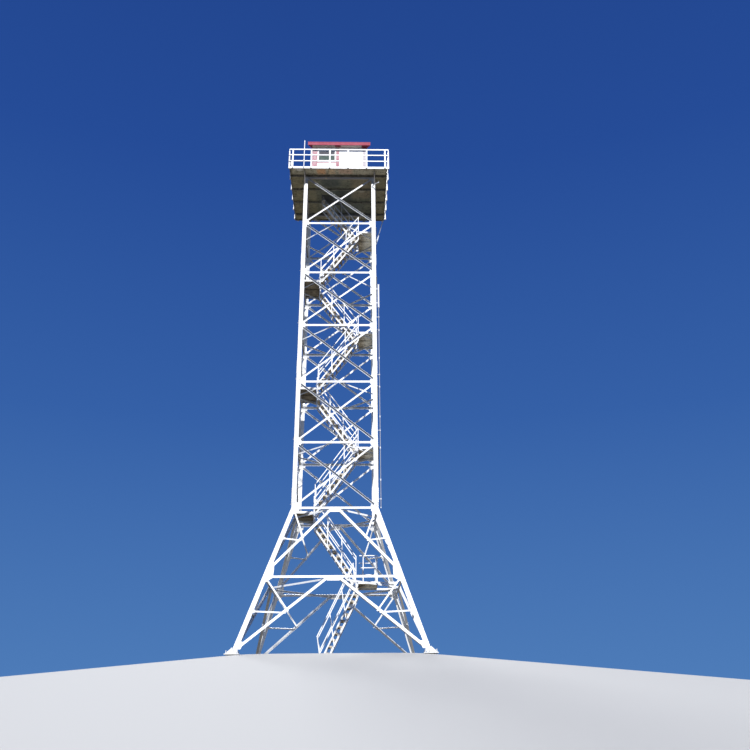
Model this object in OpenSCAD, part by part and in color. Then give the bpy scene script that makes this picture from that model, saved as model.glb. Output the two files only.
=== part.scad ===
// Fire lookout tower: four-legged steel lattice with a dog-leg stair,
// a railed platform and a small cabin on top. Millimetres, +Z up,
// origin on the ground at the centre of the base, front towards -Y.

/* [Tower] */
// Width over the legs at the base
base_width = 7800; // [7200:100:8600]
// Width over the legs above the flare
tower_width = 3870; // [3800:10:4000]
// Height of one bay
bay_height = 3000; // [2900:50:3100]
// Height of the lowest working point above the ground
base_height = 80; // [80:10:150]

/* [Members] */
// Leg angle size
leg_size = 200; // [180:10:220]
// Leg angle thickness
leg_t = 20; // [16:1:24]
// Gusset plate thickness
gusset_t = 12; // [10:1:14]
// Angle size of the X bracing
brace_size = 85; // [80:5:100]
// Angle size of the level struts
strut_size = 100; // [90:5:110]
// Angle size of the main diagonals in the flare
main_size = 110; // [100:5:130]
// Angle size of the secondary members in the flare
small_size = 63; // [50:1:75]

/* [Stair] */
// Distance from the tower centre to a landing's inner edge
landing_in = 1050; // [1000:10:1100]
// Width of one flight over its side chords
flight_w = 850; // [800:10:870]
// Number of rises in one flight
rises = 12; // [11:1:13]
// Depth of a tread
tread_d = 215; // [190:5:230]
// Height of the stair handrail above the nosing line
stair_rail_h = 940; // [900:10:1000]

/* [Platform] */
// Length of the platform frame from front to back
platform_w = 5200; // [5100:20:5300]
// Width of the platform frame from side to side
platform_wx = 5300; // [5200:20:5400]
// Height of the platform railing above the deck
rail_h = 1220; // [1150:10:1250]
// Size of a railing post
post_size = 75; // [65:1:80]
// Size of a side railing's post across the deck's edge
side_post = 60; // [50:1:75]
// Spacing of the railing posts
post_pitch = 1005; // [990:1:1015]
// Sideways offset of the platform
platform_x = -60; // [-90:5:0]
// Distance that the right side railing stands off the deck's edge
side_off = 40; // [30:2:60]

/* [Cabin] */
// Width and depth of the cabin
cabin_w = 3020; // [2960:20:3060]
// Sideways offset of the cabin on the platform
cabin_x = -60; // [-80:10:0]
// Clear height of the cabin walls
wall_h = 2170; // [2100:10:2250]
// Wall thickness
wall_t = 60; // [50:5:80]
// Depth of the eaves visor over the front and back walls
visor_d = 300; // [240:10:340]
// Extra width of the visor's outer edge beyond each wall corner
visor_w = 245; // [200:5:260]
// Height of the fascia
fascia_h = 200; // [180:10:240]

/* [Hidden] */

b0 = base_width / 2;
b2 = tower_width / 2;
// Working level k: two flared bays, then straight bays up to the platform
function level(k) = base_height + (k == 1 ? bay_height - 50 : k * bay_height);
flare_h = level(2) - base_height;
tilt = atan((b0 - b2) / flare_h);
slope = flare_h / cos(tilt);
function half_at(z) = z >= level(2) ? b2 : b0 - (b0 - b2) * (z - base_height) / flare_h;
function flare_half(v) = b0 - (b0 - b2) * v / slope;
plate_t = 30;
g0 = leg_t;                 // outer side of the gussets
g1 = leg_t + gusset_t;      // inner side of the gussets
top_z = level(8);
deck_z = top_z + 120;       // underside of the deck plates
floor_z = deck_z + 6;
white = [0.93, 0.94, 0.93];
grey = [0.42, 0.40, 0.34];
red = [0.72, 0.10, 0.13];

// ---------- helpers ----------
module at_side(k) rotate([0, 0, 90 * k]) children();
module mirror_x(on) { if (on) mirror([1, 0, 0]) children(); else children(); }

// Angle bar in a face plane from p to q (x, z), its flat at depth y0,
// its standing leg outwards (out = true) or inwards, on the upper or lower edge
module face_angle(p, q, a, t, y0, out = false, upper = true) {
  d = q - p;
  len = norm(d);
  ang = atan2(d[1], d[0]);
  s = upper ? 1 : -1;
  translate([p[0], 0, p[1]]) rotate([0, -ang, 0]) rotate([90, 0, 90])
    linear_extrude(len) union() {
      translate([y0, -a / 2]) square([t, a]);
      translate([out ? y0 + t - a : y0, s > 0 ? a / 2 - t : -a / 2]) square([a, t]);
    }
}

// Flat plate in a face plane with the given outline (x, z)
module face_plate(pts, y0, t) {
  translate([0, y0 + t, 0]) rotate([90, 0, 0]) linear_extrude(t) polygon(pts);
}

// Straight square bar between two points
module bar(p, q, s) {
  d = q - p;
  translate(p) rotate([0, 0, atan2(d[1], d[0])])
    rotate([0, -atan2(d[2], norm([d[0], d[1]])), 0])
      translate([0, -s / 2, -s / 2]) cube([norm(d), s, s]);
}

// ---------- legs ----------
module leg_plate(s, cut) {
  // one leg of the angle: a plate in the flared face along its edge
  o = cut;
  translate([0, -b0, base_height]) rotate([-tilt, 0, 0])
    face_plate([[s * (flare_half(-120) - o), -120], [s * (flare_half(-120) - leg_size), -120],
      [s * (flare_half(slope + 60) - leg_size), slope + 60], [s * (flare_half(slope + 60) - o), slope + 60]], 0, leg_t);
}
module lower_leg(k) {
  color(white) intersection() {
    union() {
      at_side(k) leg_plate(1, 0);
      at_side(k + 1) leg_plate(-1, 1);
    }
    translate([-base_width, -base_width, plate_t]) cube([2 * base_width, 2 * base_width, level(2) - plate_t]);
  }
}

splice_z = [level(2) + 560, level(4) + 760, level(6) + 800];
module upper_leg(sx, sy) {
  color(white) translate([sx * b2, sy * b2, 0]) mirror([sx > 0 ? 1 : 0, 0, 0]) mirror([0, sy > 0 ? 1 : 0, 0]) {
    translate([0, 0, level(2)]) linear_extrude(top_z - level(2))
      polygon([[0, 0], [leg_size, 0], [leg_size, leg_t], [leg_t, leg_t], [leg_t, leg_size], [0, leg_size]]);
    // cover plates of the leg splices
    for (z = splice_z) {
      translate([14, -10, z - 330]) cube([leg_size - 28, 10.01, 660]);
      translate([-10, 14, z - 330]) cube([10.01, leg_size - 28, 660]);
    }
  }
}

foot_c = half_at(plate_t) - 60;
bolt_g = 440;
module base_plates() {
  color(white) for (sx = [-1, 1]) for (sy = [-1, 1]) translate([sx * foot_c, sy * foot_c, 0])
    mirror([sx < 0 ? 1 : 0, 0, 0]) mirror([0, sy < 0 ? 1 : 0, 0]) {
      difference() {
        translate([-290, -290, 0]) cube([580, 580, plate_t]);
        for (i = [-1, 1]) for (j = [-1, 1]) translate([i * bolt_g / 2, j * bolt_g / 2, -1])
          cylinder(h = plate_t + 2, r = 18, $fn = 48);
      }
      // upright stiffeners against the outer faces of the leg
      translate([-60 - 8, 61, plate_t - 0.01]) rotate([90, 0, 90])
        linear_extrude(16) polygon([[0, 0], [215, 0], [215, 30], [-60 * tan(tilt) - 6, 240], [-60 * tan(tilt) - 24, 240]]);
      translate([61, -60 + 8, plate_t - 0.01]) rotate([90, 0, 0])
        linear_extrude(16) polygon([[0, 0], [215, 0], [215, 30], [-60 * tan(tilt) - 6, 240], [-60 * tan(tilt) - 24, 240]]);
    }
}

// ---------- flared faces ----------
v1 = slope * (bay_height - 50) / flare_h;
module k_panel(foot_v, foot_in, head_x, head_v, red_v, red_d, hor_v, hor_d) {
  // two main diagonals up to the strut's middle, each held by two secondary
  // members that run to the leg and lap over the diagonal's middle
  for (s = [-1, 1]) {
    foot = [s * (flare_half(foot_v) - foot_in), foot_v];
    head = [s * head_x, head_v];
    mid = (foot + head) / 2;
    face_angle(foot, head, main_size, 10, g1 - 1, false, true);
    face_angle([s * (flare_half(red_v) - 205), red_v], [mid[0] - s * red_d[0], mid[1] - red_d[1]], small_size, 6, g1 + 7, false, s > 0);
    face_angle([s * (flare_half(hor_v) - 190), hor_v], [mid[0] - s * hor_d[0], mid[1] - hor_d[1]], small_size, 6, g1 + 6, false, s < 0);
    // leg gusset of the level member
    face_plate([[s * (flare_half(hor_v - 70) - 45), hor_v - 70], [s * (flare_half(hor_v) - 265), hor_v - 55],
      [s * (flare_half(hor_v) - 265), hor_v + 55], [s * (flare_half(hor_v + 70) - 45), hor_v + 70]], g0, g1 - g0 + 8);
  }
}
module lower_bracing(up) {
  color(white) {
    translate([0, -b0, base_height]) rotate([-tilt, 0, 0]) {
      k_panel(240, 215, 255, v1 - 50, v1 - 104, [139, 15], 1642, [37, 70]);
      k_panel(v1 + 440, 190, 165, slope - 50, slope - 163, [46, 51], v1 + 1746, [-29, 155]);
      // first level strut
      h1 = flare_half(v1);
      face_angle([-(h1 - 215), v1], [h1 - 215, v1], strut_size, 10, g1 - 2, false, up);
      for (s = [-1, 1]) {
        // node gussets at the foot and at the first and second levels
        face_plate([[s * (flare_half(130) - 45), 130], [s * (flare_half(130) - 300), 130], [s * (flare_half(400) - 330), 400], [s * (flare_half(480) - 45), 480]], g0, gusset_t);
        face_plate([[s * (flare_half(v1 - 230) - 45), v1 - 230], [s * (flare_half(v1 - 230) - 225), v1 - 230], [s * (h1 - 420), v1 - 48],
          [s * (h1 - 440), v1 + 330], [s * (flare_half(v1 + 640) - 230), v1 + 640], [s * (flare_half(v1 + 640) - 45), v1 + 640]], g0, gusset_t);
        face_plate([[s * (flare_half(slope - 300) - 45), slope - 300], [s * (flare_half(slope - 300) - 250), slope - 300], [s * (b2 - 330), slope - 150], [s * (b2 - 330), slope - 70], [s * (b2 - 45), slope - 70]], g0, gusset_t);
      }
      // apex gussets
      face_plate([[-300, v1 - 40], [-262, v1 - 182], [262, v1 - 182], [300, v1 - 40], [300, v1 + 40], [-300, v1 + 40]], g0, gusset_t);
      face_plate([[-255, slope - 60], [-215, slope - 195], [215, slope - 195], [255, slope - 60]], g0, gusset_t);
    }
    // second level strut stands upright in the straight face
    translate([0, -b2, 0]) {
      face_angle([-(b2 - 215), level(2)], [b2 - 215, level(2)], strut_size, 10, g1 - 2, false, up);
      face_plate([[-235, level(2) - 78], [235, level(2) - 78], [235, level(2) + 44], [-235, level(2) + 44]], g0 + 1, gusset_t);
      for (s = [-1, 1]) face_plate([[s * (b2 - 45), level(2) - 62], [s * (b2 - 335), level(2) - 58], [s * (b2 - 335), level(2) + 42], [s * (b2 - 45), level(2) + 46]], g0 + 1, gusset_t);
    }
    // shelf plates that carry the plan bars
    if (up) for (s = [-1, 1]) {
      translate([s * 300 - 110, -half_at(level(1) - 62) + 29, level(1) - 66]) cube([220, 150, 8]);
      face_lug(s, 1);
      translate([s * 300 - 110, -b2 + 37, level(2) - 50]) cube([220, 140, 8]);
    }
  }
}
module face_lug(s, k) {
  // short upright plate from the tilted strut down to its shelf plate
  translate([0, -b0, base_height]) rotate([-tilt, 0, 0])
    face_plate([[s * 300 - 100, v1 - 69], [s * 300 + 100, v1 - 69], [s * 300 + 100, v1 - 20], [s * 300 - 100, v1 - 20]], g1 - 4, 8);
}

// ---------- straight faces ----------
module x_panel(za, zb) {
  u = b2 - 215;
  e = 150;
  dir = [2 * u, zb - za - 2 * e];
  // rising to the right: inner side of the gussets, flat face outwards
  face_angle([-u, za + e], [u, zb - e], brace_size, 8, g1 - 1, false, true);
  // falling to the right: outer side, standing leg towards the outside
  face_angle([-u, zb - e], [u, za + e], brace_size, 10, g0 - 9, true, true);
  // packing plate at the crossing
  zc = (za + zb) / 2;
  face_plate([[-60, zc], [0, zc - 45], [60, zc], [0, zc + 45]], g0, gusset_t);
}
module node_gusset(z, lo, hi) {
  for (s = [-1, 1]) {
    x0 = b2 - 45;
    face_plate([[s * x0, z - lo], [s * (x0 - 175), z - lo], [s * (x0 - 300), z - 75],
      [s * (x0 - 300), z + 75], [s * (x0 - 175), z + hi], [s * x0, z + hi]], g0, gusset_t);
  }
}
module upper_bracing(up) {
  color(white) translate([0, -b2, 0]) {
    for (k = [2:7]) x_panel(level(k), level(k + 1));
    for (k = [3:7]) {
      face_angle([-(b2 - 215), level(k)], [b2 - 215, level(k)], strut_size, 8, g1 - 2, false, up);
      node_gusset(level(k), 235, 235);
      // shelf plates that carry the plan bars
      if (up) for (s = [-1, 1]) translate([s * 300 - 110, g1 + 5, level(k) - strut_size / 2]) cube([220, 140, 8]);
    }
    // head strut: a channel under the platform joists
    c_x(-(b2 - 215), b2 - 215, g1 - 2, top_z - 100, 100, 75);
    for (s = [-1, 1]) {
      x0 = b2 - 45;
      // the end nodes: half gussets over the flare and under the platform
      face_plate([[s * x0, level(2) + 62], [s * (x0 - 300), level(2) + 62], [s * (x0 - 300), level(2) + 110], [s * (x0 - 175), level(2) + 260], [s * x0, level(2) + 260]], g0, gusset_t);
      face_plate([[s * x0, top_z - 270], [s * (x0 - 175), top_z - 270], [s * (x0 - 320), top_z - 120], [s * (x0 - 320), top_z - 20], [s * x0, top_z - 20]], g0, gusset_t);
      // knee brace out to the platform, on the faces whose joists end over the legs
      xk = b2 - 40;
      if (up) {
        bar([s * xk, -28, top_z - 500], [s * xk, -478, top_z - 30], 45);
        translate([s * xk - 30, -10.5, top_z - 590]) cube([60, 10, 190]);
        translate([s * xk - 30, -560, top_z - 8.5]) cube([60, 160, 8]);
      }
    }
  }
}

// ---------- plan bracing ----------
module plan_bar(h, z, a) {
  // one bar of the ring that joins two neighbouring struts across the corner
  p = [300, -(h - 90), z];
  q = [h - 90, -300, z];
  d = q - p;
  translate(p) rotate([0, 0, atan2(d[1], d[0])]) rotate([90, 0, 90])
    linear_extrude(norm(d)) polygon([[-a / 2, 0], [a / 2, 0], [a / 2, -6], [-a / 2 + 6, -6], [-a / 2 + 6, -a], [-a / 2, -a]]);
}
module plan_bracing() {
  color(white) {
    for (s = [0:3]) at_side(s) plan_bar(half_at(level(1)) - 10, level(1) - 66, 75);
    for (s = [0:3]) at_side(s) plan_bar(b2, level(2) - strut_size / 2, 75);
    for (k = [3:7]) for (s = [0:3]) at_side(s) plan_bar(b2, level(k) - strut_size / 2, 63);
  }
}

// ---------- stair ----------
landing_top = 56;           // top of a landing above its level
rail_s = 40;                // handrail tube
stair_post = 36;            // stair and landing posts
chord_t = 10;
yi = 100;
yo = yi + flight_w;
L = landing_in;
lean = 9.2;                 // the lowest flight is the same ladder, set steeper
// In the flight's own direction x runs from the lower to the upper landing
module flight_dir(k) { mirror_x(k % 2 == 0) children(); }
function flight_top(k) = k == 8 ? floor_z : level(k) + landing_top;
function flight_base(k) = k == 1 ? flight_top(1) - bay_height : level(k - 1) + landing_top;
function going() = (2 * L - 78) / (rises - 1);
function grade(k) = (flight_top(k) - flight_base(k)) / rises / going();
function cosec(k) = sqrt(1 + grade(k) * grade(k));
// nosing line, o below it measured square to the slope
function nose(k, x, o) = flight_top(k) - grade(k) * (L - x) - o * cosec(k);
function nose_x(k, z, o) = L - (flight_top(k) - o * cosec(k) - z) / grade(k);
module set_flight(k) {
  // the lowest flight swings about its head and is cut off at the ground and at its landing
  if (k == 1) intersection() {
    translate([L, 0, flight_top(1)]) rotate([0, -lean, 0]) translate([-L, 0, -flight_top(1)]) children();
    translate([-3000, -2000, 0]) cube([3000 + L, 4000, 2 * bay_height]);
  }
  else children();
}
module side_view(y, face, t) {
  // a profile (x, z) made into a plate t thick whose outer face lies at y
  translate([0, y + (face < 0 ? t : 0), 0]) rotate([90, 0, 0]) linear_extrude(t) children();
}
module chord_pair(k, y, face) {
  xs = k == 1 ? -L - 400 : -L + 2;
  z0 = flight_base(k);
  side_view(y, face, chord_t)
    polygon([[xs, nose(k, xs, 63)], [L, nose(k, L, 63)], [L, nose(k, L, 3)], [xs, nose(k, xs, 3)]]);
  if (k == 1) {
    side_view(y, face, chord_t)
      polygon([[xs, nose(k, xs, 297)], [L + 60, nose(k, L + 60, 297)], [L + 60, nose(k, L + 60, 222)], [xs, nose(k, xs, 222)]]);
    side_view(y, face, 45)
      polygon([[xs, nose(k, xs, 298)], [L + 60, nose(k, L + 60, 298)], [L + 60, nose(k, L + 60, 290)], [xs, nose(k, xs, 290)]]);
  } else {
    xb = nose_x(k, z0 - 95, 297);
    xt = nose_x(k, z0 - 20, 222);
    side_view(y, face, chord_t)
      polygon([[-L, z0 - 95], [xb, z0 - 95], [L, nose(k, L, 297)], [L, nose(k, L, 222)], [xt, z0 - 20], [-L, z0 - 20]]);
    side_view(y, face, 45)
      polygon([[xb + 20, nose(k, xb + 20, 298)], [L - 2, nose(k, L - 2, 298)], [L - 2, nose(k, L - 2, 290)], [xb + 20, nose(k, xb + 20, 290)]]);
  }
}
module flight_stringers(ks, side) {
  color(white) for (k = ks) flight_dir(k) set_flight(k) {
    chord_pair(k, side * yi, -side);
    chord_pair(k, side * yo, side);
  }
}
module tread(x, z, d, y) {
  // folded plate with an end plate at each side that hangs between the chords
  translate([x, y, z]) rotate([90, 0, 0]) {
    linear_extrude(flight_w - 2 * chord_t)
      polygon([[0, -35], [5, -35], [5, -5], [d - 5, -5], [d - 5, -35], [d, -35], [d, 0], [0, 0]]);
    for (e = [0, flight_w - 2 * chord_t - 6]) translate([0, 0, e]) linear_extrude(6)
      polygon([[2, -2], [d - 2, -2], [d - 2, -150], [d - 42, -185], [d - 70, -60], [2, -45]]);
  }
}
module flight_treads(ks, side) {
  color(white) for (k = ks) flight_dir(k) {
    z1 = flight_top(k);
    rise = k == 1 ? z1 / rises : (z1 - flight_base(k)) / rises;
    go = k == 1 ? rise / tan(atan(grade(1)) + lean) : going();
    for (i = [1:rises - 1]) {
      x = L - (rises - i) * go;
      tread(x, z1 - (rises - i) * rise, min(tread_d, L - x), side > 0 ? yo - chord_t : -yi - chord_t);
    }
  }
}
module flight_rail(k, y) {
  xa = k == 1 ? -L + 21 : -L + 105;
  xb = k == 8 ? L - 720 : k == 1 ? L - 115 : L - 21;
  p = stair_post;
  for (o = [stair_rail_h, stair_rail_h * 0.35])
    bar([xa - 17, y, nose(k, xa - 17, 0) + o], [xb + 17, y, nose(k, xb + 17, 0) + o], rail_s);
  for (i = [0:3]) {
    x = xa + i * (xb - xa) / 3;
    zb = i == 0 && k > 1 ? flight_base(k) - 95 : nose(k, x, 290);
    translate([x - p / 2, y - p / 2, zb]) cube([p, p, nose(k, x, 0) + stair_rail_h - zb]);
  }
}
module flight_handrails() {
  color(white) for (k = [1:8]) flight_dir(k) set_flight(k) {
    side = k % 2 == 1 ? -1 : 1;
    flight_rail(k, side * (yi - stair_post / 2));
    flight_rail(k, side * (yo + stair_post / 2));
  }
}
land_y = 1000;
land_out = b2 - 42;
module landing(k, sx) {
  z = level(k) - 42;
  x0 = landing_in + 0.5;
  x1 = k == 1 ? 1900 : land_out;
  mirror_x(sx < 0) {
    // frame: edge channels and a middle bearer, under a chequer plate
    for (y = [-land_y, -3, land_y - 6]) translate([x0, y, z]) cube([x1 - x0, 6, 98]);
    for (x = [x0, x1 - 6]) translate([x, -land_y, z]) cube([6, 2 * land_y, 98]);
    for (y = [-land_y, land_y - 45]) translate([x0, y, z]) cube([x1 - x0, 45, 6]);
    translate([x0, -land_y, z + 92]) cube([x1 - x0, 2 * land_y, 6]);
    // bearers that carry the wide-bay landings to the side struts
    if (k == 1) for (y = [-land_y, land_y - 50]) translate([x1 - 1, y, z]) cube([half_at(level(1)) - 150 - x1, 50, 80]);
  }
}
module left_landings() { color(grey) for (k = [2, 4, 6]) landing(k, -1); }
module right_landings() { color(grey) for (k = [1, 3, 5, 7]) landing(k, 1); }
module rail_panel_y(x, ya, yb, z, h) {
  // guard panel that runs along y
  s = rail_s;
  for (o = [h - s, h / 2]) translate([x - s / 2, ya, z + o]) cube([s, yb - ya, s]);
  for (y = [ya, (ya + yb) / 2 - s / 2, yb - s]) translate([x - s / 2, y, z]) cube([s, s, h]);
}
module rail_panel_x(y, xa, xb, z, h) {
  s = rail_s;
  for (o = [h - s, h / 2]) translate([xa, y - s / 2, z + o]) cube([xb - xa, s, s]);
  for (x = [xa + 150, xb - s]) translate([x, y - s / 2, z]) cube([s, s, h]);
}
module landing_rails() {
  color(white) for (k = [1:7]) mirror_x(k % 2 == 0) {
    x1 = k == 1 ? 1900 : land_out;
    z = level(k) + landing_top;
    h = 1110;
    rail_panel_y(x1 - 22, -land_y + 60, land_y - 60, z, h);
    // the wide bay's landing is guarded in front and behind as well
    if (k == 1) for (s = [-1, 1]) rail_panel_x(s * (land_y - 22), landing_in + 40, x1 - 60, z, h);
  }
}

// ---------- platform ----------
pw = platform_w / 2;
pwx = platform_wx / 2;
joist_y = [-1920, -640, 640, 1920];
hatch = [[-landing_in - platform_x, 80 - platform_x], [0, 1000]];   // x range, y range of the floor hatch
module c_x(x0, x1, y, z, h, f) {
  // channel along x with its web at y and flanges towards +y
  translate([x0, y, z]) rotate([90, 0, 90]) linear_extrude(x1 - x0)
    polygon([[0, 0], [f, 0], [f, 8], [7, 8], [7, h - 8], [f, h - 8], [f, h], [0, h]]);
}
module on_platform() translate([platform_x, 0, 0]) children();
module platform_frame() {
  hx0 = hatch[0][0];
  hx1 = hatch[0][1];
  color(grey) {
    // joists, cut for the hatch
    for (y = joist_y) {
      if (y == 640) {
        c_x(-pwx + 46, hx0 - 10, y - 25, top_z, 120, 55);
        c_x(hx1 + 10, pwx - 46, y - 25, top_z, 120, 55);
      } else c_x(-pwx + 46, pwx - 46, y - 25, top_z, 120, 55);
    }
    // trimmers at the hatch
    for (x = [hx0 - 9, hx1 + 1]) translate([x, -609, top_z]) cube([8, 2500, 120]);
    // stubs over the legs that carry the front and back edges
    for (s = [0, 2]) at_side(s) for (sx = [-1, 1]) translate([sx * (b2 - 40) - 25 - (s == 0 ? platform_x : -platform_x), -1946, top_z]) rotate([90, 0, 0])
      linear_extrude(pw - 1946 - 46) polygon([[0, 0], [50, 0], [50, 8], [7, 8], [7, 112], [50, 112], [50, 120], [0, 120]]);
    // edge channels
    for (s = [0, 2]) at_side(s) c_x(-pwx, pwx, -pw, deck_z - 62, 62, 45);
    for (s = [1, 3]) at_side(s) c_x(-pw + 50, pw - 50, -pwx, deck_z - 62, 62, 45);
  }
}
module platform_deck() {
  e = pw - 1;
  f = pwx - 1;
  hx0 = hatch[0][0];
  hx1 = hatch[0][1];
  color(grey) for (r = [[-f, f, -e, -1921], [-f, f, -1919, -641], [-f, f, 1921, e],
      [-f, hx0, -639, 639], [hx1, f, -639, 639], [hx0 + 1, hx1 - 1, -639, hatch[1][0]],
      [-f, hx0, 641, 1919], [hx1, f, 641, 1919], [hx0 + 1, hx1 - 1, hatch[1][1], 1919]])
    translate([r[0], r[2], deck_z]) cube([r[1] - r[0], r[3] - r[2], 6]);
}
module railing_side(s, mid) {
  // guard outside the deck's edge: square posts centred on mid, flat-faced rails
  // and a toe plate; the right side's railing stands off on short brackets
  z0 = deck_z - 60;
  long = s % 2 == 0;
  edge = long ? pw : pwx;
  off = s == 1 ? side_off : 0;
  deep = long ? post_size : side_post;
  y = -edge - off - deep;
  // ends of the rails: the front and back ones reach the side railings
  reach_l = pwx + side_post - 36;
  reach_r = pwx + side_off + side_post - 36;
  e0 = s == 0 ? -reach_l : s == 2 ? -reach_r : -(pw + post_size - 38);
  e1 = s == 0 ? reach_r : s == 2 ? reach_l : pw + post_size - 38;
  color(white) {
    for (i = [-2.5:1:2.5]) {
      x = mid + i * post_pitch;
      translate([x - post_size / 2, y, z0]) cube([post_size, deep, rail_h + 52]);
      if (off > 0) translate([x - 25, y + deep - 1, deck_z - 50]) cube([50, off - 4, 60]);
    }
    for (z = [deck_z + 410, deck_z + 810]) translate([e0, y + 5, z - 30]) cube([e1 - e0, 30, 60]);
    translate([e0, y + 5, deck_z + rail_h - 70]) cube([e1 - e0, 30, 70]);
    t = long ? pwx - 1 : pw - 7;
    translate([-t, -edge - 6, deck_z - 59]) cube([2 * t, 7, 139]);
  }
}
module railing_pole() {
  color(white) {
    translate([-1935 - platform_x, -pw - post_size - 26, deck_z - 40]) cylinder(h = 1800, r = 24, $fn = 24);
    for (z = [deck_z + 400, deck_z + 1130]) translate([-1975 - platform_x, -pw - post_size - 55, z]) cube([80, 54.5, 40]);
  }
}
module cable_conduit() {
  color(white) {
    x = b2 + 120;
    y = -b2 + 175;
    translate([x, y, level(2) + 40]) cylinder(h = level(6) - 640 - level(2) - 40, r = 20, $fn = 20);
    translate([x, y, level(5) + 1060]) cylinder(h = 1300, r = 45, $fn = 24);
    for (z = [level(2) + 400, level(3) + 600, level(4) + 400, level(5) + 500, level(5) + 1300, level(5) + 2100])
      translate([b2, y - 25, z]) cube([120, 50, 30]);
    bar([b2 + 40, b2 - 60, level(7) + 700], [pw - 70, pw - 120, deck_z - 95], 40);
    translate([b2, b2 - 90, level(7) + 620]) cube([62, 60, 60]);
  }
}

// ---------- cabin ----------
cw = cabin_w / 2;
wall_top = floor_z + wall_h;
win = [[-1200, -190], [1270, 2000]];      // x range and height range of the window opening
frame_w = 46;                             // face width of the window frame
module wall_plate(w, holes) {
  // wall seen from outside, outer face at y = 0, width w, with openings cut through
  rotate([90, 0, 0]) translate([0, 0, -wall_t]) linear_extrude(wall_t) difference() {
    translate([-w / 2, floor_z]) square([w, wall_h]);
    for (h = holes) translate([h[0][0], floor_z + h[1][0]]) square([h[0][1] - h[0][0], h[1][1] - h[1][0]]);
  }
}
door_x = [250, 1050];
door_h = 1980;
module cabin_side(k) translate([cabin_x, 0, 0]) at_side(k) translate([0, -cw, 0]) children();
module front_wall() color(white) cabin_side(0) wall_plate(cabin_w, [win]);
module right_wall() color(white) cabin_side(1) wall_plate(cabin_w - 2 * wall_t - 1, [win]);
module left_wall() color(white) cabin_side(3) wall_plate(cabin_w - 2 * wall_t - 1, [win]);
module back_wall() color(white) cabin_side(2) {
  // beside and over the doorway
  rotate([90, 0, 0]) translate([0, 0, -wall_t]) linear_extrude(wall_t) difference() {
    translate([-cw, floor_z]) square([cabin_w, wall_h]);
    translate([door_x[0], floor_z - 1]) square([door_x[1] - door_x[0], door_h + 1]);
    translate([win[0][0], floor_z + win[1][0]]) square([win[0][1] - win[0][0], win[1][1] - win[1][0]]);
  }
}
module red_trim() {
  // edge strips and sill band of the window bay
  color(red) cabin_side(0) {
    for (x = [[-cw, -1220], [-165, 5]]) translate([x[0], -12, floor_z]) cube([x[1] - x[0], 11.5, wall_h]);
    translate([-1219, -12, floor_z + 1125]) cube([1053, 11.5, 50]);
  }
}
module window_frames() {
  color(white) for (k = [0:3]) cabin_side(k) {
    f = frame_w;
    translate([0, 0, floor_z]) rotate([90, 0, 0]) translate([0, 0, -wall_t + 8]) linear_extrude(wall_t + 6)
      difference() {
        translate([win[0][0] + 1, win[1][0] + 1]) square([win[0][1] - win[0][0] - 2, win[1][1] - win[1][0] - 2]);
        translate([win[0][0] + f, win[1][0] + f]) square([win[0][1] - win[0][0] - 2 * f, win[1][1] - win[1][0] - 2 * f]);
      }
  }
}
module window_panes() {
  color([0.5, 0.6, 0.55, 0.6]) for (k = [0:3]) cabin_side(k) {
    f = frame_w + 0.5;
    translate([win[0][0] + f, 26, floor_z + win[1][0] + f]) cube([win[0][1] - win[0][0] - 2 * f, 6, win[1][1] - win[1][0] - 2 * f]);
  }
}
module cabin_door() {
  color(white) cabin_side(2) {
    translate([door_x[0] + 4, 8, floor_z + 8]) cube([door_x[1] - door_x[0] - 8, 40, door_h - 12]);
    translate([door_x[1] - 110, -28, floor_z + 980]) cube([25, 36.5, 140]);
  }
}
// roof outline in plan, i inside the fascia's outer face: close to the side
// walls, with a visor over the front and back that widens to its outer edge
vx = visor_w - 45;
vn = sqrt(vx * vx + visor_d * visor_d);
function plan(i) = [for (q = [[1, -1], [1, 1], [-1, 1], [-1, -1]])
  let (a = [q[0] * (cw + visor_w - i * (vn + vx) / visor_d), q[1] * (cw + visor_d - i)],
    b = [q[0] * (cw + 45 - i), q[1] * (cw + i * (vn - visor_d) / vx)])
  each q[0] * q[1] < 0 ? [a, b] : [b, a]];
module ceiling() {
  color(red) translate([cabin_x, 0, wall_top]) linear_extrude(10) polygon(plan(32));
}
module fascia() {
  color(red) translate([cabin_x, 0, wall_top - 8]) linear_extrude(fascia_h) difference() {
    polygon(plan(0));
    polygon(plan(30));
  }
}
module roof() {
  o = cw + 45;
  z = wall_top + fascia_h - 8;
  color(red) translate([cabin_x, 0, z]) {
    linear_extrude(12) polygon(plan(-8));
    translate([0, 0, 9]) polyhedron(
      points = [[-o, -o, 0], [o, -o, 0], [o, o, 0], [-o, o, 0], [0, 0, 380],
        [-o + 45, -o + 45, 0], [o - 45, -o + 45, 0], [o - 45, o - 45, 0], [-o + 45, o - 45, 0], [0, 0, 368]],
      faces = [[4, 1, 0], [4, 2, 1], [4, 3, 2], [4, 0, 3], [5, 6, 9], [6, 7, 9], [7, 8, 9], [8, 5, 9],
        [0, 1, 6, 5], [1, 2, 7, 6], [2, 3, 8, 7], [3, 0, 5, 8]]);
  }
}

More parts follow.
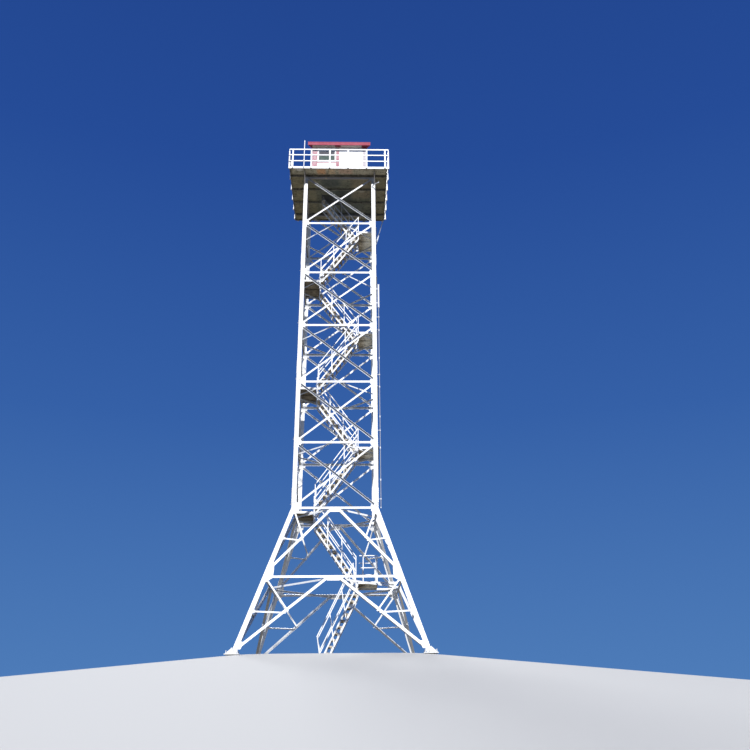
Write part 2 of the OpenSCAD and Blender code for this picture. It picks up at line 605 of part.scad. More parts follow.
base_plates();
lower_leg(3);  // lower_leg_front_left
lower_leg(0);  // lower_leg_front_right
lower_leg(2);  // lower_leg_back_left
lower_leg(1);  // lower_leg_back_right
upper_leg(-1, -1);  // upper_leg_front_left
upper_leg(1, -1);  // upper_leg_front_right
upper_leg(-1, 1);  // upper_leg_back_left
upper_leg(1, 1);  // upper_leg_back_right
at_side(0) lower_bracing(true);  // front_lower_bracing
at_side(1) lower_bracing(false);  // right_lower_bracing
at_side(2) lower_bracing(true);  // back_lower_bracing
at_side(3) lower_bracing(false);  // left_lower_bracing
at_side(0) upper_bracing(true);  // front_upper_bracing
at_side(1) upper_bracing(false);  // right_upper_bracing
at_side(2) upper_bracing(true);  // back_upper_bracing
at_side(3) upper_bracing(false);  // left_upper_bracing
plan_bracing();
flight_stringers([1, 3, 5, 7], -1);  // front_flight_stringers
flight_stringers([2, 4, 6, 8], 1);  // rear_flight_stringers
flight_treads([1, 3, 5, 7], -1);  // front_flight_treads
flight_treads([2, 4, 6, 8], 1);  // rear_flight_treads
flight_handrails();
left_landings();
right_landings();
landing_rails();
on_platform() platform_frame();
on_platform() platform_deck();
on_platform() at_side(0) railing_side(0, 23);  // front_railing
on_platform() at_side(1) railing_side(1, -70);  // right_railing
on_platform() at_side(2) railing_side(2, -23);  // back_railing
on_platform() at_side(3) railing_side(3, 70);  // left_railing
on_platform() railing_pole();
cable_conduit();
front_wall();
right_wall();
back_wall();
left_wall();
red_trim();
window_frames();
window_panes();
cabin_door();
ceiling();
fascia();
roof();
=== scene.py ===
# Looks of the fire lookout tower: finishes, bolts, sheet ribs and fittings
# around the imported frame. Metres, +Z up, front towards -Y.
import math
import random
import bpy
import numpy as np
from mathutils import Matrix, Vector


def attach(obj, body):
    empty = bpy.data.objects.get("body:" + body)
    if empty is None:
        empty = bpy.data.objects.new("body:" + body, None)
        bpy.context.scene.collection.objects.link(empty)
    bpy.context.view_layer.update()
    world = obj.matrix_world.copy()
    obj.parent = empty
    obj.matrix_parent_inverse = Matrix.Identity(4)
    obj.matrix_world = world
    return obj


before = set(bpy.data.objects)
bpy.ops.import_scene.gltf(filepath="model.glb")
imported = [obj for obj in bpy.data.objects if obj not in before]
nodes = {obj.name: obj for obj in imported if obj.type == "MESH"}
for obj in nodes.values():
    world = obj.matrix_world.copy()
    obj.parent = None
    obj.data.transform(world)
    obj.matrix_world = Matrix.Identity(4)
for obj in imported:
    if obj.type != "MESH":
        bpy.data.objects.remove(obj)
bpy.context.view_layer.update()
random.seed(7)

# ---------------------------------------------------------------- dimensions
B0, B2 = 3.900, 1.935
BASE = 0.080
BAY = 3.000
def level(k):
    return BASE + (BAY - 0.05 if k == 1 else k * BAY)
FLARE_H = level(2) - BASE
TILT = math.atan((B0 - B2) / FLARE_H)
SLOPE = FLARE_H / math.cos(TILT)
def flare_half(v):
    return B0 - (B0 - B2) * v / SLOPE
def half_at(z):
    return B2 if z >= level(2) else B0 - (B0 - B2) * (z - BASE) / FLARE_H
V1 = SLOPE * (BAY - 0.05) / FLARE_H
TOP = level(8)
DECK = TOP + 0.120
FLOOR = DECK + 0.006
PW = 2.600
POST = 0.075
PITCH = 1.005
PX = -0.060
PWX = 2.650
SIDE_POST = 0.060
SIDE_OFF = 0.040
RAIL_H = 1.220
CW = 1.510
CX = -0.060
WALL_H = 2.170
WALL_T = 0.060
WALL_TOP = FLOOR + WALL_H
VIS_D, VIS_W = 0.300, 0.245
FASCIA = 0.200
ROOF_Z = WALL_TOP + FASCIA - 0.008
G0, G1 = 0.020, 0.032
WIN = ((-1.200, -0.190), (1.270, 2.000))
FRAME_W = 0.046
DOOR = (0.250, 1.050)
DOOR_H = 1.980
SPLICES = (level(2) + 0.560, level(4) + 0.760, level(6) + 0.800)
BRACE = 0.085
JOISTS = (-1.920, -0.640, 0.640, 1.920)

# ---------------------------------------------------------------- node helpers
def new_mat(name):
    m = bpy.data.materials.new(name)
    m.use_nodes = True
    nt = m.node_tree
    for n in list(nt.nodes):
        nt.nodes.remove(n)
    out = nt.nodes.new("ShaderNodeOutputMaterial")
    bsdf = nt.nodes.new("ShaderNodeBsdfPrincipled")
    nt.links.new(bsdf.outputs[0], out.inputs[0])
    tc = nt.nodes.new("ShaderNodeTexCoord")
    return m, nt, bsdf, tc

def mapping(nt, tc, scale, rot=(0, 0, 0)):
    mp = nt.nodes.new("ShaderNodeMapping")
    mp.inputs["Scale"].default_value = scale
    mp.inputs["Rotation"].default_value = rot
    nt.links.new(tc.outputs["Object"], mp.inputs["Vector"])
    return mp.outputs[0]

def noise(nt, vec, scale, detail=4.0, rough=0.55, dist=0.0):
    n = nt.nodes.new("ShaderNodeTexNoise")
    n.inputs["Scale"].default_value = scale
    n.inputs["Detail"].default_value = detail
    n.inputs["Roughness"].default_value = rough
    n.inputs["Distortion"].default_value = dist
    nt.links.new(vec, n.inputs["Vector"])
    return n.outputs["Fac"]

def ramp(nt, fac, stops):
    r = nt.nodes.new("ShaderNodeValToRGB")
    el = r.color_ramp.elements
    while len(el) > 1:
        el.remove(el[-1])
    el[0].position = stops[0][0]
    c = stops[0][1]
    el[0].color = (c[0], c[1], c[2], 1) if isinstance(c, (tuple, list)) else (c, c, c, 1)
    for p, c in stops[1:]:
        e = el.new(p)
        e.color = (c[0], c[1], c[2], 1) if isinstance(c, (tuple, list)) else (c, c, c, 1)
    nt.links.new(fac, r.inputs[0])
    return r.outputs[0]

def mix(nt, a, b, fac, mode="MIX"):
    n = nt.nodes.new("ShaderNodeMix")
    n.data_type = "RGBA"
    n.blend_type = mode
    def put(sock, v):
        if isinstance(v, (tuple, list)):
            sock.default_value = (v[0], v[1], v[2], 1)
        elif isinstance(v, (int, float)):
            sock.default_value = v
        else:
            nt.links.new(v, sock)
    put(n.inputs[0], fac)
    put(n.inputs[6], a)
    put(n.inputs[7], b)
    return n.outputs[2]

def calc(nt, op, a, b=0.0, clamp=False):
    n = nt.nodes.new("ShaderNodeMath")
    n.operation = op
    n.use_clamp = clamp
    for i, v in enumerate((a, b)):
        if isinstance(v, (int, float)):
            n.inputs[i].default_value = v
        else:
            nt.links.new(v, n.inputs[i])
    return n.outputs[0]

def span(nt, val, lo, hi, smooth=True):
    """0 below lo, 1 above hi"""
    mr = nt.nodes.new("ShaderNodeMapRange")
    mr.interpolation_type = "SMOOTHSTEP" if smooth else "LINEAR"
    mr.inputs[1].default_value = lo
    mr.inputs[2].default_value = hi
    nt.links.new(val, mr.inputs[0])
    return mr.outputs[0]

def bump(nt, height, dist, strength=1.0, under=None):
    b = nt.nodes.new("ShaderNodeBump")
    b.inputs["Strength"].default_value = strength
    b.inputs["Distance"].default_value = dist
    nt.links.new(height, b.inputs["Height"])
    if under is not None:
        nt.links.new(under, b.inputs["Normal"])
    return b.outputs[0]

def facing(nt, axis, lo, hi):
    """0..1 as the surface normal turns towards an axis direction"""
    g = nt.nodes.new("ShaderNodeNewGeometry")
    d = nt.nodes.new("ShaderNodeVectorMath")
    d.operation = "DOT_PRODUCT"
    d.inputs[1].default_value = axis
    nt.links.new(g.outputs["Normal"], d.inputs[0])
    return span(nt, d.outputs["Value"], lo, hi, False)

def xyz(nt, tc):
    s = nt.nodes.new("ShaderNodeSeparateXYZ")
    nt.links.new(tc.outputs["Object"], s.inputs[0])
    return s.outputs[0], s.outputs[1], s.outputs[2]

def band(nt, val, lo, hi, soft):
    """1 between lo and hi with soft edges"""
    return calc(nt, "MULTIPLY", span(nt, val, lo - soft, lo + soft), calc(nt, "SUBTRACT", 1.0, span(nt, val, hi - soft, hi + soft)))

def chequer(nt, tc, pitch):
    """raised lozenges of a chequer plate, for the bump"""
    x, y, z = xyz(nt, tc)
    k = math.pi / pitch
    s1 = calc(nt, "SINE", calc(nt, "MULTIPLY", calc(nt, "ADD", x, y), k))
    s2 = calc(nt, "SINE", calc(nt, "MULTIPLY", calc(nt, "SUBTRACT", x, y), k))
    return span(nt, calc(nt, "ABSOLUTE", calc(nt, "MULTIPLY", s1, s2)), 0.45, 0.75)

# ---------------------------------------------------------------- finishes
RUST_A, RUST_B = (0.10, 0.035, 0.012), (0.33, 0.13, 0.045)

def rust_mask(nt, tc, lo, hi, amount):
    v1 = mapping(nt, tc, (1, 1, 1))
    rn = ramp(nt, noise(nt, v1, 7.5, 8, 0.72), [(lo, 0.0), (hi, 1.0)])
    rn2 = ramp(nt, noise(nt, mapping(nt, tc, (30, 30, 2.5)), 1.0, 3, 0.5), [(0.42, 0.0), (0.62, 1.0)])
    return calc(nt, "MULTIPLY", calc(nt, "MULTIPLY", rn, rn2), amount)

def finish(nt, bsdf, tc, col, rough, mask=None, grain=0.0006, wave=0.004, spec=0.45, extra=None):
    """roughness with variation, rough where rusty, fine brush texture and faint waviness"""
    v1 = mapping(nt, tc, (1, 1, 1))
    nt.links.new(col, bsdf.inputs["Base Color"])
    r = ramp(nt, noise(nt, v1, 26, 4, 0.6), [(0.2, rough - 0.06), (0.8, rough + 0.12)])
    if mask is not None:
        r = mix(nt, r, (0.85, 0.85, 0.85), mask)
    nt.links.new(r, bsdf.inputs["Roughness"])
    bsdf.inputs["Specular IOR Level"].default_value = spec
    n1 = bump(nt, noise(nt, v1, 140, 3, 0.5), grain, 0.35)
    n2 = bump(nt, noise(nt, v1, 3.0, 3, 0.5), wave, 0.25, n1)
    if extra is not None:
        n2 = bump(nt, extra[0], extra[1], 1.0, n2)
    nt.links.new(n2, bsdf.inputs["Normal"])

def painted(name, base, grime=(0.36, 0.33, 0.27), grime_amt=0.35, rust_amt=0.5, rough=0.42, under=0.0, up_amt=0.22, zone=None, groove_shade=False):
    """Brushed-on paint over steel: faint tone patches, rain streaks, dirt on ledges,
    painted shade on faces turned down, optional painted shade in the falling diagonals' corners and another tone above
    a height, rust freckles that break through, slight texture."""
    m, nt, bsdf, tc = new_mat(name)
    v1 = mapping(nt, tc, (1, 1, 1))
    patch = noise(nt, v1, 0.9, 5, 0.6)
    tone = ramp(nt, patch, [(0.3, tuple(c * 0.93 for c in base)), (0.7, base)])
    streak = noise(nt, mapping(nt, tc, (9, 9, 0.7)), 2.2, 5, 0.62)
    smask = ramp(nt, streak, [(0.52, 0.0), (0.72, 1.0)])
    fine = noise(nt, v1, 26, 4, 0.6)
    smask2 = calc(nt, "MULTIPLY", smask, ramp(nt, fine, [(0.3, 0.25), (0.7, 1.0)]))
    col = mix(nt, tone, grime, calc(nt, "MULTIPLY", smask2, grime_amt))
    up = facing(nt, (0, 0, 1), 0.35, 0.95)
    col = mix(nt, col, grime, calc(nt, "MULTIPLY", up, up_amt + 0.3 * grime_amt))
    # painted shade: faces turned down are darkened towards a dark grime tone, more with under, standing in for the
    # shade beneath members
    underside_shade = facing(nt, (0, 0, -1), 0.5, 0.98)
    col = mix(nt, col, (grime[0] * 0.34, grime[1] * 0.33, grime[2] * 0.30), calc(nt, "MULTIPLY", underside_shade, min(1.0, 0.10 + under)))
    if groove_shade:
        # painted shade in the inner corner of the falling diagonals' angles, the same in each bay: the standing leg's
        # underside and the part of the flat leg in its shadow
        x, y, z = xyz(nt, tc)
        zr = calc(nt, "MODULO", calc(nt, "SUBTRACT", z, level(2)), BAY)
        u, e = B2 - 0.215, 0.150
        rise = (BAY - 2 * e) / (2 * u)
        f = calc(nt, "ADD", calc(nt, "SUBTRACT", zr, BAY - e - u * rise), calc(nt, "MULTIPLY", x, rise))
        s = calc(nt, "MULTIPLY", f, math.cos(math.atan(rise)))
        k = band(nt, s, BRACE * 0.27, BRACE / 2 - 0.0085, 0.0015)
        k = calc(nt, "MULTIPLY", k, ramp(nt, noise(nt, v1, 6.0, 4, 0.6), [(0.28, 0.7), (0.6, 1.0)]))
        col = mix(nt, col, (0.085, 0.075, 0.065), calc(nt, "MULTIPLY", k, 0.55))
    if zone is not None:
        # another tone above a height, such as painted shade on steel right under the platform, standing in for the
        # platform's shadow
        lo, hi, c, amt = zone
        x, y, z = xyz(nt, tc)
        zw = calc(nt, "ADD", z, calc(nt, "MULTIPLY", calc(nt, "SUBTRACT", fine, 0.5), 0.06))
        k = calc(nt, "MULTIPLY", span(nt, zw, lo, hi), calc(nt, "SUBTRACT", 1.0, span(nt, zw, DECK - 0.05, DECK - 0.02)))
        k = calc(nt, "MULTIPLY", k, ramp(nt, noise(nt, v1, 4.0, 5, 0.65), [(0.30, 0.75), (0.62, 1.0)]))
        col = mix(nt, col, c, calc(nt, "MULTIPLY", k, amt))
    mask = rust_mask(nt, tc, 0.64, 0.70, rust_amt)
    rcol = ramp(nt, noise(nt, v1, 60, 4, 0.6), [(0.3, RUST_A), (0.7, RUST_B)])
    col = mix(nt, col, rcol, mask)
    finish(nt, bsdf, tc, col, rough, mask)
    return m

def mottled(name, dark, mid, light, rust_amt, rough=0.7, scale=2.2, top=None, stains_and_shadow_patches=(), edge_white=None, grade=None, seams_and_joist_shade=(), gain=1.35):
    """Weathered plate seen mostly from below: mottled primer and rust stains,
    a chequered worn top, optional painted edges, an optional paler grade towards one x that is painted light,
    stains by place, some of them painted shadow, and dark seam lines, partly painted shade along the joists."""
    m, nt, bsdf, tc = new_mat(name)
    dark, mid, light = (tuple(min(0.95, v * gain) for v in c) for c in (dark, mid, light))
    v1 = mapping(nt, tc, (1, 1, 1))
    x, y, z = xyz(nt, tc)
    big = noise(nt, v1, scale, 6, 0.65, 0.4)
    fine = noise(nt, v1, 19, 5, 0.7)
    spots = noise(nt, v1, 7.0, 4, 0.7, 0.6)
    blend = calc(nt, "ADD", calc(nt, "MULTIPLY", big, 0.42), calc(nt, "ADD", calc(nt, "MULTIPLY", spots, 0.36), calc(nt, "MULTIPLY", fine, 0.22)))
    col = ramp(nt, blend, [(0.40, dark), (0.50, mid), (0.60, light)])
    # painted light where used: the tone turns paler towards the upper x
    if grade is not None:
        lo, hi, c = grade
        col = mix(nt, col, c, calc(nt, "MULTIPLY", span(nt, x, lo, hi), ramp(nt, blend, [(0.30, 0.55), (0.62, 1.0)])))
    # dark seam lines: those along the joists' lines are partly painted shade where the joists meet the plate; the x
    # ones are plate joints
    for (axis, at, w) in seams_and_joist_shade:
        k = band(nt, x if axis == "x" else y, at - w, at + w, w * 0.4)
        col = mix(nt, col, tuple(c * 0.25 for c in dark), calc(nt, "MULTIPLY", k, 0.85))
    # stains by place, some of them painted shadow: x range, y range, colour, strength
    wob = calc(nt, "MULTIPLY", calc(nt, "SUBTRACT", noise(nt, v1, 5.0, 4, 0.6), 0.5), 0.34)
    xw, yw = calc(nt, "ADD", x, wob), calc(nt, "ADD", y, wob)
    for (x0, x1, y0, y1, c, amt, soft) in stains_and_shadow_patches:
        k = calc(nt, "MULTIPLY", band(nt, xw, x0, x1, soft), band(nt, yw, y0, y1, soft))
        k = calc(nt, "MULTIPLY", k, ramp(nt, fine, [(0.28, 0.35), (0.6, 1.0)]))
        col = mix(nt, col, tuple(min(0.92, v * gain) for v in c), calc(nt, "MULTIPLY", k, amt))
    # dirt that settles in spots over everything
    col = mix(nt, col, tuple(v * 0.55 for v in dark), calc(nt, "MULTIPLY", ramp(nt, spots, [(0.36, 1.0), (0.47, 0.0)]), 0.55))
    mask = rust_mask(nt, tc, 0.55, 0.66, rust_amt)
    rcol = ramp(nt, noise(nt, v1, 44, 4, 0.6), [(0.3, RUST_A), (0.7, RUST_B)])
    col = mix(nt, col, rcol, mask)
    upf = facing(nt, (0, 0, 1), 0.4, 0.8)
    ex = None
    if top is not None:
        wear = noise(nt, v1, 1.3, 5, 0.6)
        tcol = ramp(nt, wear, [(0.35, tuple(c * 0.7 for c in top)), (0.6, top)])
        lz = chequer(nt, tc, 0.035)
        tcol = mix(nt, tcol, tuple(min(1, c * 1.35) for c in top), calc(nt, "MULTIPLY", lz, 0.5))
        tcol = mix(nt, tcol, rcol, calc(nt, "MULTIPLY", mask, 0.7))
        col = mix(nt, col, tcol, upf)
        ex = (calc(nt, "MULTIPLY", lz, upf), 0.002)
    if edge_white is not None:
        wx, wy, wcol = edge_white
        ax, ay = calc(nt, "ABSOLUTE", x), calc(nt, "ABSOLUTE", y)
        side = calc(nt, "SUBTRACT", 1.0, calc(nt, "ADD", facing(nt, (0, 0, 1), 0.3, 0.6), facing(nt, (0, 0, -1), 0.3, 0.6), True))
        at = calc(nt, "MAXIMUM", calc(nt, "GREATER_THAN", ay, wy), calc(nt, "GREATER_THAN", ax, wx))
        chips = ramp(nt, noise(nt, v1, 11, 6, 0.7), [(0.60, 1.0), (0.68, 0.35)])
        col = mix(nt, col, wcol, calc(nt, "MULTIPLY", calc(nt, "MULTIPLY", side, at), chips))
    finish(nt, bsdf, tc, col, rough, mask, 0.0012, 0.006, 0.2, ex)
    return m

M = {}
# white steel: under paints shade on faces turned down; zone paints shade from TOP - 0.49 up, standing in for the
# platform's shadow on the leg tops and head strut
M["white_steel"] = painted("white_steel", (0.80, 0.81, 0.80), grime_amt=0.26, rust_amt=0.5, under=0.78,
                           zone=(TOP - 0.49, TOP - 0.46, (0.30, 0.265, 0.225), 0.90))
# front bracing: the same painted shade as the white steel, plus painted shade in the corners of the falling diagonals
M["front_bracing_steel"] = painted("front_bracing_steel", (0.80, 0.81, 0.80), grime_amt=0.26, rust_amt=0.5, under=0.78,
                                   zone=(TOP - 0.49, TOP - 0.46, (0.30, 0.265, 0.225), 0.90), groove_shade=True)
M["foot_steel"] = painted("foot_steel", (0.74, 0.75, 0.73), grime=(0.25, 0.21, 0.15), grime_amt=0.7, rust_amt=0.8)
# rails: under paints shade on faces turned down; zone paints shade from TOP - 1.60 up, standing in for the platform's
# shadow on the top flight
M["rail_paint"] = painted("rail_paint", (0.84, 0.85, 0.84), grime_amt=0.18, rust_amt=0.35, under=0.5,
                          zone=(TOP - 1.60, TOP - 1.30, (0.36, 0.33, 0.29), 0.85))
M["conduit_paint"] = painted("conduit_paint", (0.74, 0.77, 0.80), grime_amt=0.25, rust_amt=0.1, rough=0.38)
M["conduit_dull"] = painted("conduit_dull", (0.30, 0.33, 0.40), grime_amt=0.25, rust_amt=0.1, rough=0.45,
                            zone=(level(5) + 1.00, level(5) + 1.04, (0.78, 0.80, 0.83), 1.0))
M["bolt_steel"] = painted("bolt_steel", (0.68, 0.69, 0.68), grime=(0.22, 0.13, 0.07), grime_amt=0.9, rust_amt=1.0, rough=0.5)
M["tread_plate"] = mottled("tread_plate", (0.26, 0.22, 0.17), (0.43, 0.385, 0.31), (0.62, 0.575, 0.49), 0.5, top=(0.24, 0.22, 0.19), gain=1.1)
M["platform_steel"] = mottled("platform_steel", (0.055, 0.050, 0.036), (0.12, 0.105, 0.075), (0.22, 0.20, 0.15), 0.55, scale=3.0,
                              stains_and_shadow_patches=((-1.80, 1.80, -1.30, 1.30, (0.17, 0.165, 0.125), 0.75, 0.08),))
WHITE_EDGE = (0.80, 0.80, 0.78)
# the landing plates are one finish in two copies: the right landings' copy is painted lighter than the left's and paler
# towards its outer edge, painted light standing in for light bounced onto those undersides
M["left_landing_plate"] = mottled("left_landing_plate", (0.075, 0.062, 0.042), (0.15, 0.125, 0.085), (0.25, 0.215, 0.155), 0.6,
                                  top=(0.26, 0.24, 0.20), edge_white=(1.884, 0.992, WHITE_EDGE))
M["right_landing_plate"] = mottled("right_landing_plate", (0.165, 0.138, 0.098), (0.31, 0.27, 0.20), (0.54, 0.49, 0.38), 0.30,
                                   top=(0.26, 0.24, 0.20), edge_white=(1.884, 0.992, WHITE_EDGE), grade=(1.18, 1.52, (0.95, 0.93, 0.82)))
M["deck_plate"] = mottled("deck_plate", (0.085, 0.082, 0.056), (0.185, 0.170, 0.115), (0.33, 0.30, 0.215), 0.35, scale=1.9,
    top=(0.30, 0.28, 0.24),
    stains_and_shadow_patches=(
        # front strip of the underside
        (-2.62, 2.58, -2.62, -1.96, (0.50, 0.47, 0.38), 0.75, 0.10),
        (-2.36, -1.98, -2.64, -2.30, (0.78, 0.78, 0.70), 0.85, 0.05),
        (-1.24, -0.76, -2.60, -2.02, (0.66, 0.34, 0.16), 0.85, 0.07),
        (-0.62, -0.26, -2.60, -2.02, (0.60, 0.42, 0.25), 0.70, 0.07),
        (-0.05, 0.70, -2.60, -2.04, (0.50, 0.31, 0.23), 0.70, 0.10),
        (1.05, 1.75, -2.60, -2.04, (0.44, 0.40, 0.32), 0.55, 0.12),
        # middle field, grey green; the three darker blotches next are painted soft shadow in a diagonal band
        (-1.78, 1.78, -1.84, 1.88, (0.130, 0.146, 0.112), 0.72, 0.16),
        (-1.05, 0.05, -1.75, -0.80, (0.050, 0.066, 0.068), 0.85, 0.20),
        (-0.75, 0.75, -0.60, 0.80, (0.060, 0.078, 0.076), 0.80, 0.25),
        (-0.30, 1.30, 0.90, 1.90, (0.075, 0.095, 0.092), 0.70, 0.25),
        (-1.95, -1.35, -1.70, 1.90, (0.27, 0.235, 0.14), 0.60, 0.14),
        (0.65, 1.75, -1.75, 0.30, (0.27, 0.215, 0.14), 0.70, 0.18),
        (-1.20, -0.75, 0.70, 1.20, (0.40, 0.36, 0.27), 0.6, 0.08),
        (1.05, 1.35, -0.55, -0.30, (0.45, 0.42, 0.33), 0.7, 0.05),
        # side fields
        (-2.62, -2.04, -1.90, 2.55, (0.235, 0.205, 0.120), 0.65, 0.08),
        (1.98, 2.58, -1.90, 2.55, (0.235, 0.210, 0.130), 0.65, 0.08)),
    # the y lines lie along the joists and are partly painted shade
    seams_and_joist_shade=(("y", -1.920, 0.016), ("y", -0.640, 0.014), ("y", 0.640, 0.014), ("y", 1.920, 0.014), ("x", -1.31, 0.006), ("x", 1.25, 0.006)))

def sheet_wall(name, base, pitch=0.25):
    """coated sheet with a shallow profile of upright grooves and light weathering"""
    m, nt, bsdf, tc = new_mat(name)
    v1 = mapping(nt, tc, (1, 1, 1))
    x, y, z = xyz(nt, tc)
    tone = ramp(nt, noise(nt, v1, 1.1, 4, 0.55), [(0.3, tuple(c * 0.955 for c in base)), (0.7, base)])
    streak = ramp(nt, noise(nt, mapping(nt, tc, (12, 12, 0.5)), 1.6, 5, 0.6), [(0.55, 0.0), (0.78, 1.0)])
    low = calc(nt, "SUBTRACT", 1.0, span(nt, z, FLOOR, FLOOR + 0.45))
    col = mix(nt, tone, (0.42, 0.38, 0.31), calc(nt, "MULTIPLY", calc(nt, "ADD", calc(nt, "MULTIPLY", streak, 0.12), calc(nt, "MULTIPLY", low, 0.14)), 1.0))
    g = None
    for c in (x, y):
        s = calc(nt, "ABSOLUTE", calc(nt, "SINE", calc(nt, "MULTIPLY", c, math.pi / pitch)))
        k = span(nt, s, 0.0, 0.10)
        g = k if g is None else calc(nt, "MULTIPLY", g, k)
    mask = rust_mask(nt, tc, 0.66, 0.72, 0.25)
    col = mix(nt, col, RUST_B, mask)
    finish(nt, bsdf, tc, col, 0.40, mask, 0.0004, 0.003, 0.45, (g, 0.0022))
    return m

M["wall_panel"] = sheet_wall("wall_panel", (0.82, 0.825, 0.82))
M["door_paint"] = painted("door_paint", (0.70, 0.72, 0.72), grime_amt=0.3, rust_amt=0.3, rough=0.4)
M["frame_paint"] = painted("frame_paint", (0.84, 0.85, 0.85), grime_amt=0.2, rust_amt=0.1, rough=0.38)

def faded(name, base, deep, pale, marks=(), rough=0.66, beyond=None):
    """sun-bleached paint: chalky pale patches, deeper remains, optional crossed marks,
    and another set of tones beyond an x"""
    m, nt, bsdf, tc = new_mat(name)
    v1 = mapping(nt, tc, (1, 1, 1))
    x, y, z = xyz(nt, tc)
    n = calc(nt, "ADD", calc(nt, "MULTIPLY", noise(nt, v1, 2.3, 5, 0.6), 0.6), calc(nt, "MULTIPLY", noise(nt, mapping(nt, tc, (14, 14, 1.2)), 2.0, 5, 0.65), 0.4))
    col = ramp(nt, n, [(0.34, deep), (0.50, base), (0.68, pale)])
    if beyond is not None:
        at, b2, d2, p2 = beyond
        col = mix(nt, col, ramp(nt, n, [(0.34, d2), (0.50, b2), (0.68, p2)]), calc(nt, "GREATER_THAN", x, at))
    for centre, half, c, amt in marks:
        # crossed diagonal strokes up the strip
        dx = calc(nt, "SUBTRACT", x, centre)
        fam = None
        for s in (1, -1):
            t = calc(nt, "ADD", z, calc(nt, "MULTIPLY", dx, 1.5 * s))
            w = calc(nt, "ABSOLUTE", calc(nt, "SINE", calc(nt, "MULTIPLY", t, math.pi / 0.405)))
            k = calc(nt, "SUBTRACT", 1.0, span(nt, w, 0.22, 0.45))
            fam = k if fam is None else calc(nt, "MAXIMUM", fam, k)
        inside = calc(nt, "SUBTRACT", 1.0, span(nt, calc(nt, "ABSOLUTE", dx), half * 0.86, half))
        fam = calc(nt, "MULTIPLY", fam, inside)
        fam = calc(nt, "MULTIPLY", fam, ramp(nt, noise(nt, v1, 15, 4, 0.6), [(0.3, 0.55), (0.6, 1.0)]))
        col = mix(nt, col, c, calc(nt, "MULTIPLY", fam, amt))
    dirt = ramp(nt, noise(nt, mapping(nt, tc, (10, 10, 0.6)), 2.4, 5, 0.6), [(0.55, 0.0), (0.75, 1.0)])
    col = mix(nt, col, (0.16, 0.11, 0.09), calc(nt, "MULTIPLY", dirt, 0.16))
    mask = rust_mask(nt, tc, 0.66, 0.72, 0.3)
    col = mix(nt, col, RUST_B, mask)
    finish(nt, bsdf, tc, col, rough, mask, 0.0006, 0.003, 0.18)
    return m

M["red_paint"] = faded("red_paint", (0.36, 0.075, 0.110), (0.28, 0.046, 0.072), (0.43, 0.115, 0.155))
M["strip_paint"] = faded("strip_paint", (0.51, 0.335, 0.355), (0.44, 0.265, 0.295), (0.58, 0.42, 0.44),
                         marks=((-1.425, 0.145, (0.42, 0.17, 0.205), 0.75), (-0.14, 0.085, (0.30, 0.12, 0.15), 0.5)),
                         beyond=(-1.279, (0.46, 0.235, 0.26), (0.38, 0.17, 0.20), (0.58, 0.36, 0.38)))
M["corner_paint"] = faded("corner_paint", (0.53, 0.495, 0.505), (0.47, 0.43, 0.445), (0.60, 0.575, 0.58),
                          marks=((CX + CW - 0.085, 0.08, (0.38, 0.32, 0.34), 0.75),))
M["roof_sheet"] = faded("roof_sheet", (0.40, 0.065, 0.095), (0.30, 0.040, 0.060), (0.50, 0.13, 0.16), rough=0.5)

def soffit():
    m, nt, bsdf, tc = new_mat("soffit_board")
    v1 = mapping(nt, tc, (1, 1, 1))
    x, y, z = xyz(nt, tc)
    n = calc(nt, "ADD", calc(nt, "MULTIPLY", noise(nt, v1, 3.0, 5, 0.6), 0.5), calc(nt, "MULTIPLY", noise(nt, mapping(nt, tc, (1.5, 20, 20)), 2.0, 4, 0.6), 0.5))
    col = ramp(nt, n, [(0.34, (0.34, 0.27, 0.22)), (0.50, (0.54, 0.45, 0.39)), (0.66, (0.74, 0.65, 0.58))])
    # maroon ends and a short maroon piece in the middle
    red = (0.20, 0.020, 0.034)
    k = calc(nt, "MAXIMUM", calc(nt, "SUBTRACT", 1.0, span(nt, x, -1.60, -1.54)), span(nt, x, 1.16, 1.24))
    k = calc(nt, "MAXIMUM", k, calc(nt, "MULTIPLY", band(nt, x, -0.30, 0.02, 0.03), calc(nt, "SUBTRACT", 1.0, span(nt, y, -1.66, -1.58))))
    outside = calc(nt, "GREATER_THAN", calc(nt, "ABSOLUTE", y), CW - 0.01)
    col = mix(nt, col, red, calc(nt, "MULTIPLY", k, outside))
    s = calc(nt, "ABSOLUTE", calc(nt, "SINE", calc(nt, "MULTIPLY", y, math.pi / 0.098)))
    g = span(nt, s, 0.0, 0.16)
    col = mix(nt, (0.10, 0.075, 0.06), col, calc(nt, "ADD", calc(nt, "MULTIPLY", g, 0.7), 0.3))
    finish(nt, bsdf, tc, col, 0.62, None, 0.0012, 0.003, 0.3, (g, 0.003))
    return m
M["soffit_board"] = soffit()

def glass():
    m, nt, bsdf, tc = new_mat("pane_glass")
    v1 = mapping(nt, tc, (1, 1, 1))
    x, y, z = xyz(nt, tc)
    up = span(nt, z, FLOOR + 1.60, FLOOR + 1.66)
    col = mix(nt, (0.135, 0.185, 0.155), (0.185, 0.180, 0.195), up)
    dust = noise(nt, v1, 4.0, 5, 0.6)
    col = mix(nt, col, (0.30, 0.31, 0.29), ramp(nt, dust, [(0.45, 0.0), (0.75, 0.35)]))
    nt.links.new(col, bsdf.inputs["Base Color"])
    nt.links.new(ramp(nt, dust, [(0.3, 0.015), (0.8, 0.05)]), bsdf.inputs["Roughness"])
    bsdf.inputs["Transmission Weight"].default_value = 0.35
    bsdf.inputs["IOR"].default_value = 1.45
    bsdf.inputs["Specular IOR Level"].default_value = 0.5
    return m
M["pane_glass"] = glass()
M["gasket"] = painted("gasket", (0.045, 0.045, 0.045), grime=(0.12, 0.11, 0.10), grime_amt=0.4, rust_amt=0.0, rough=0.6)
M["door_iron"] = painted("door_iron", (0.10, 0.10, 0.105), grime=(0.20, 0.15, 0.10), grime_amt=0.6, rust_amt=0.5, rough=0.42)
